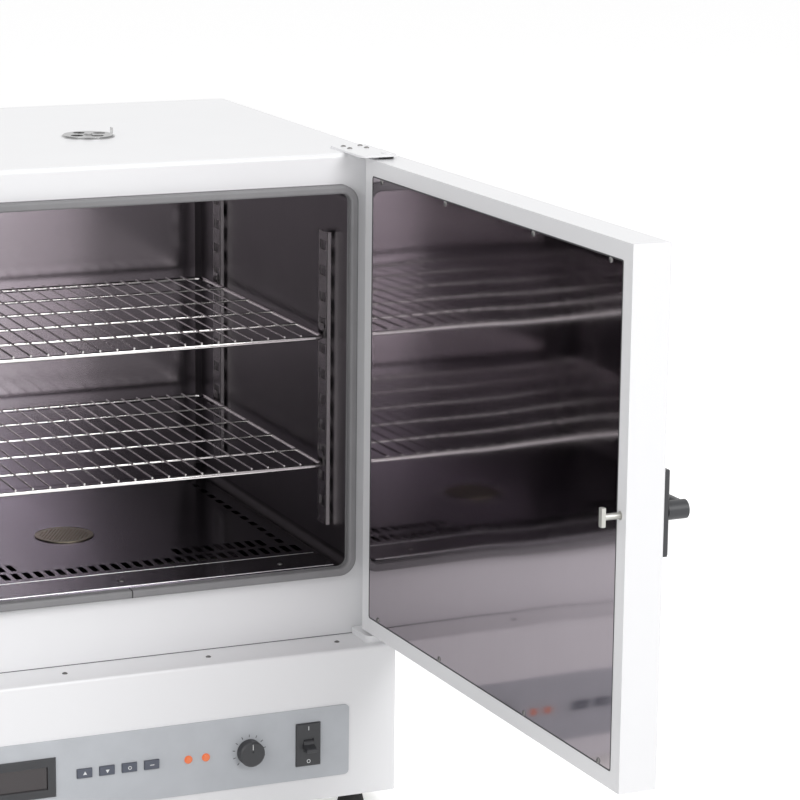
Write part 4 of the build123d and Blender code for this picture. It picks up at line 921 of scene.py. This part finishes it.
def printedMark(name, mark):
    low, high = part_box(mark["on"])
    shape = Shape(name, {"Size": mark["size"], "Line": markLook["line"],
                         "Rise": markLook["rise"]})
    size, line, rise = (shape.get(key) for key in ("Size", "Line", "Rise"))
    if mark["kind"] == "bar":
        part = shape.block(line, size, rise * 2)
    elif mark["kind"] == "arrow":
        part = shape.rod(size, rise * 2, 3)
    else:
        inner = size - line * markLook["ringLine"]
        part = shape.cut(shape.rod(size, rise * 2, markLook["ringSides"]),
                         [shape.rod(inner, rise * 2 * through, markLook["ringSides"])])
    shape.close([part], finishes["mark"], False)
    middle = (low + high) / 2
    place = Matrix.Translation((middle.x, low.y, middle.z + mark.get("up", 0.0))) @ frontwards
    turn = Matrix.Rotation(math.radians(mark["turn"]), 4, "Z")
    settle(shape.build(name), place @ turn, mark["body"])


# scale ticks round the dial, on the fascia
scaleLook = {"count": 11, "from": 135.0, "span": 270.0, "radius": 0.0215, "long": 0.0035,
             "wide": 0.0009}


def dialScale():
    low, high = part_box("overheat_dial")
    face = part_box("control_fascia")[0].y
    step = -math.radians(scaleLook["span"]) / (scaleLook["count"] - 1)
    shape = Shape("dialScale", {
        "Count": scaleLook["count"], "Step": step, "Start": math.radians(scaleLook["from"]),
        "Radius": scaleLook["radius"], "Long": scaleLook["long"], "Wide": scaleLook["wide"],
        "Rise": markLook["rise"],
    })
    tick = shape.block(shape.get("Wide"), shape.get("Long"), shape.get("Rise") * 2)
    tick = shape.moved(tick, y=shape.get("Radius"))
    spots = shape.add("GeometryNodeMeshLine", None,
                      {"Count": shape.get("Count"), "Offset": (0.0, 0.0, 0.0)})
    angle = shape.add("GeometryNodeInputIndex") * shape.get("Step") + shape.get("Start")
    ticks = shape.spread(tick, spots, Rotation=shape.vector(z=angle))
    shape.close([ticks], finishes["gap"], False)
    middle = (low + high) / 2
    place = Matrix.Translation((middle.x, face, middle.z)) @ frontwards
    settle(shape.build("dialScale"), place, "cabinet")


for markName, mark in marks.items():
    printedMark(markName, mark)
dialScale()

# plain studio: pale floor, white surround, soft lamps
studio = {
    "floorTone": 0.80, "floorRoughness": 0.9, "floorLift": 0.50, "floorSize": 24.0, "sky": 0.54,
    "lamps": {
        "keyLamp": {"place": (2.38, -6.49, 4.68), "aim": (0, -0.2, 0.6), "size": 3.74,
                    "power": 318.0},
        "fillLamp": {"place": (-3.4, -2.6, 2.2), "aim": (0, -0.3, 0.5), "size": 2.4,
                     "power": 40.0},
        "topLamp": {"place": (0.2, 0.4, 3.6), "aim": (0, 0, 0.8), "size": 2.8, "power": 18.0},
        "backLamp": {"place": (-1.2, 3.6, 2.2), "aim": (0, 0.3, 0.5), "size": 2.4,
                     "power": 30.0},
    },
}


def seenDirectly(maker):
    # 1 for what the camera sees, straight or in metal and glass
    seen = maker.add("ShaderNodeLightPath", out="Is Camera Ray")
    source = seen.socket.node
    for key in ("Is Glossy Ray", "Is Transmission Ray"):
        seen = seen.sum("MAXIMUM", seen, Value(maker, source.outputs[key]))
    return seen


def setWorld():
    world = bpy.data.worlds.new("studioSurround")
    world.use_nodes = True
    scene.world = world
    world.node_tree.nodes.clear()
    maker = Maker(world.node_tree)
    strength = seenDirectly(maker) * (1.0 - studio["sky"]) + studio["sky"]
    surround = {"Color": (1, 1, 1, 1), "Strength": strength}
    glow = maker.add("ShaderNodeBackground", None, surround)
    maker.add("ShaderNodeOutputWorld", None, {"Surface": glow})


def setFloor():
    half = studio["floorSize"] / 2
    corners = [(-half, -half, 0), (half, -half, 0), (half, half, 0), (-half, half, 0)]
    mesh = bpy.data.meshes.new("studioFloor")
    mesh.from_pydata(corners, [], [(0, 1, 2, 3)])
    plane = bpy.data.objects.new("studioFloor", mesh)
    scene.collection.objects.link(plane)
    paper = Finish("floorPaper", Base_Color=grey(studio["floorTone"]),
                   Roughness=studio["floorRoughness"], Emission_Color=(1, 1, 1, 1))
    paper.put("Emission Strength", seenDirectly(paper) * studio["floorLift"])
    mesh.materials.append(paper.material)


def setLamps():
    for name, lamp in studio["lamps"].items():
        data = bpy.data.lights.new(name, "AREA")
        data.shape = "SQUARE"
        data.size = lamp["size"]
        data.energy = lamp["power"]
        holder = bpy.data.objects.new(name, data)
        scene.collection.objects.link(holder)
        holder.location = lamp["place"]
        toward = Vector(lamp["aim"]) - Vector(lamp["place"])
        holder.rotation_mode = "QUATERNION"
        holder.rotation_quaternion = toward.to_track_quat("-Z", "Y")


setWorld()
setFloor()
setLamps()
scene.view_settings.view_transform = "Standard"
print("studio set")
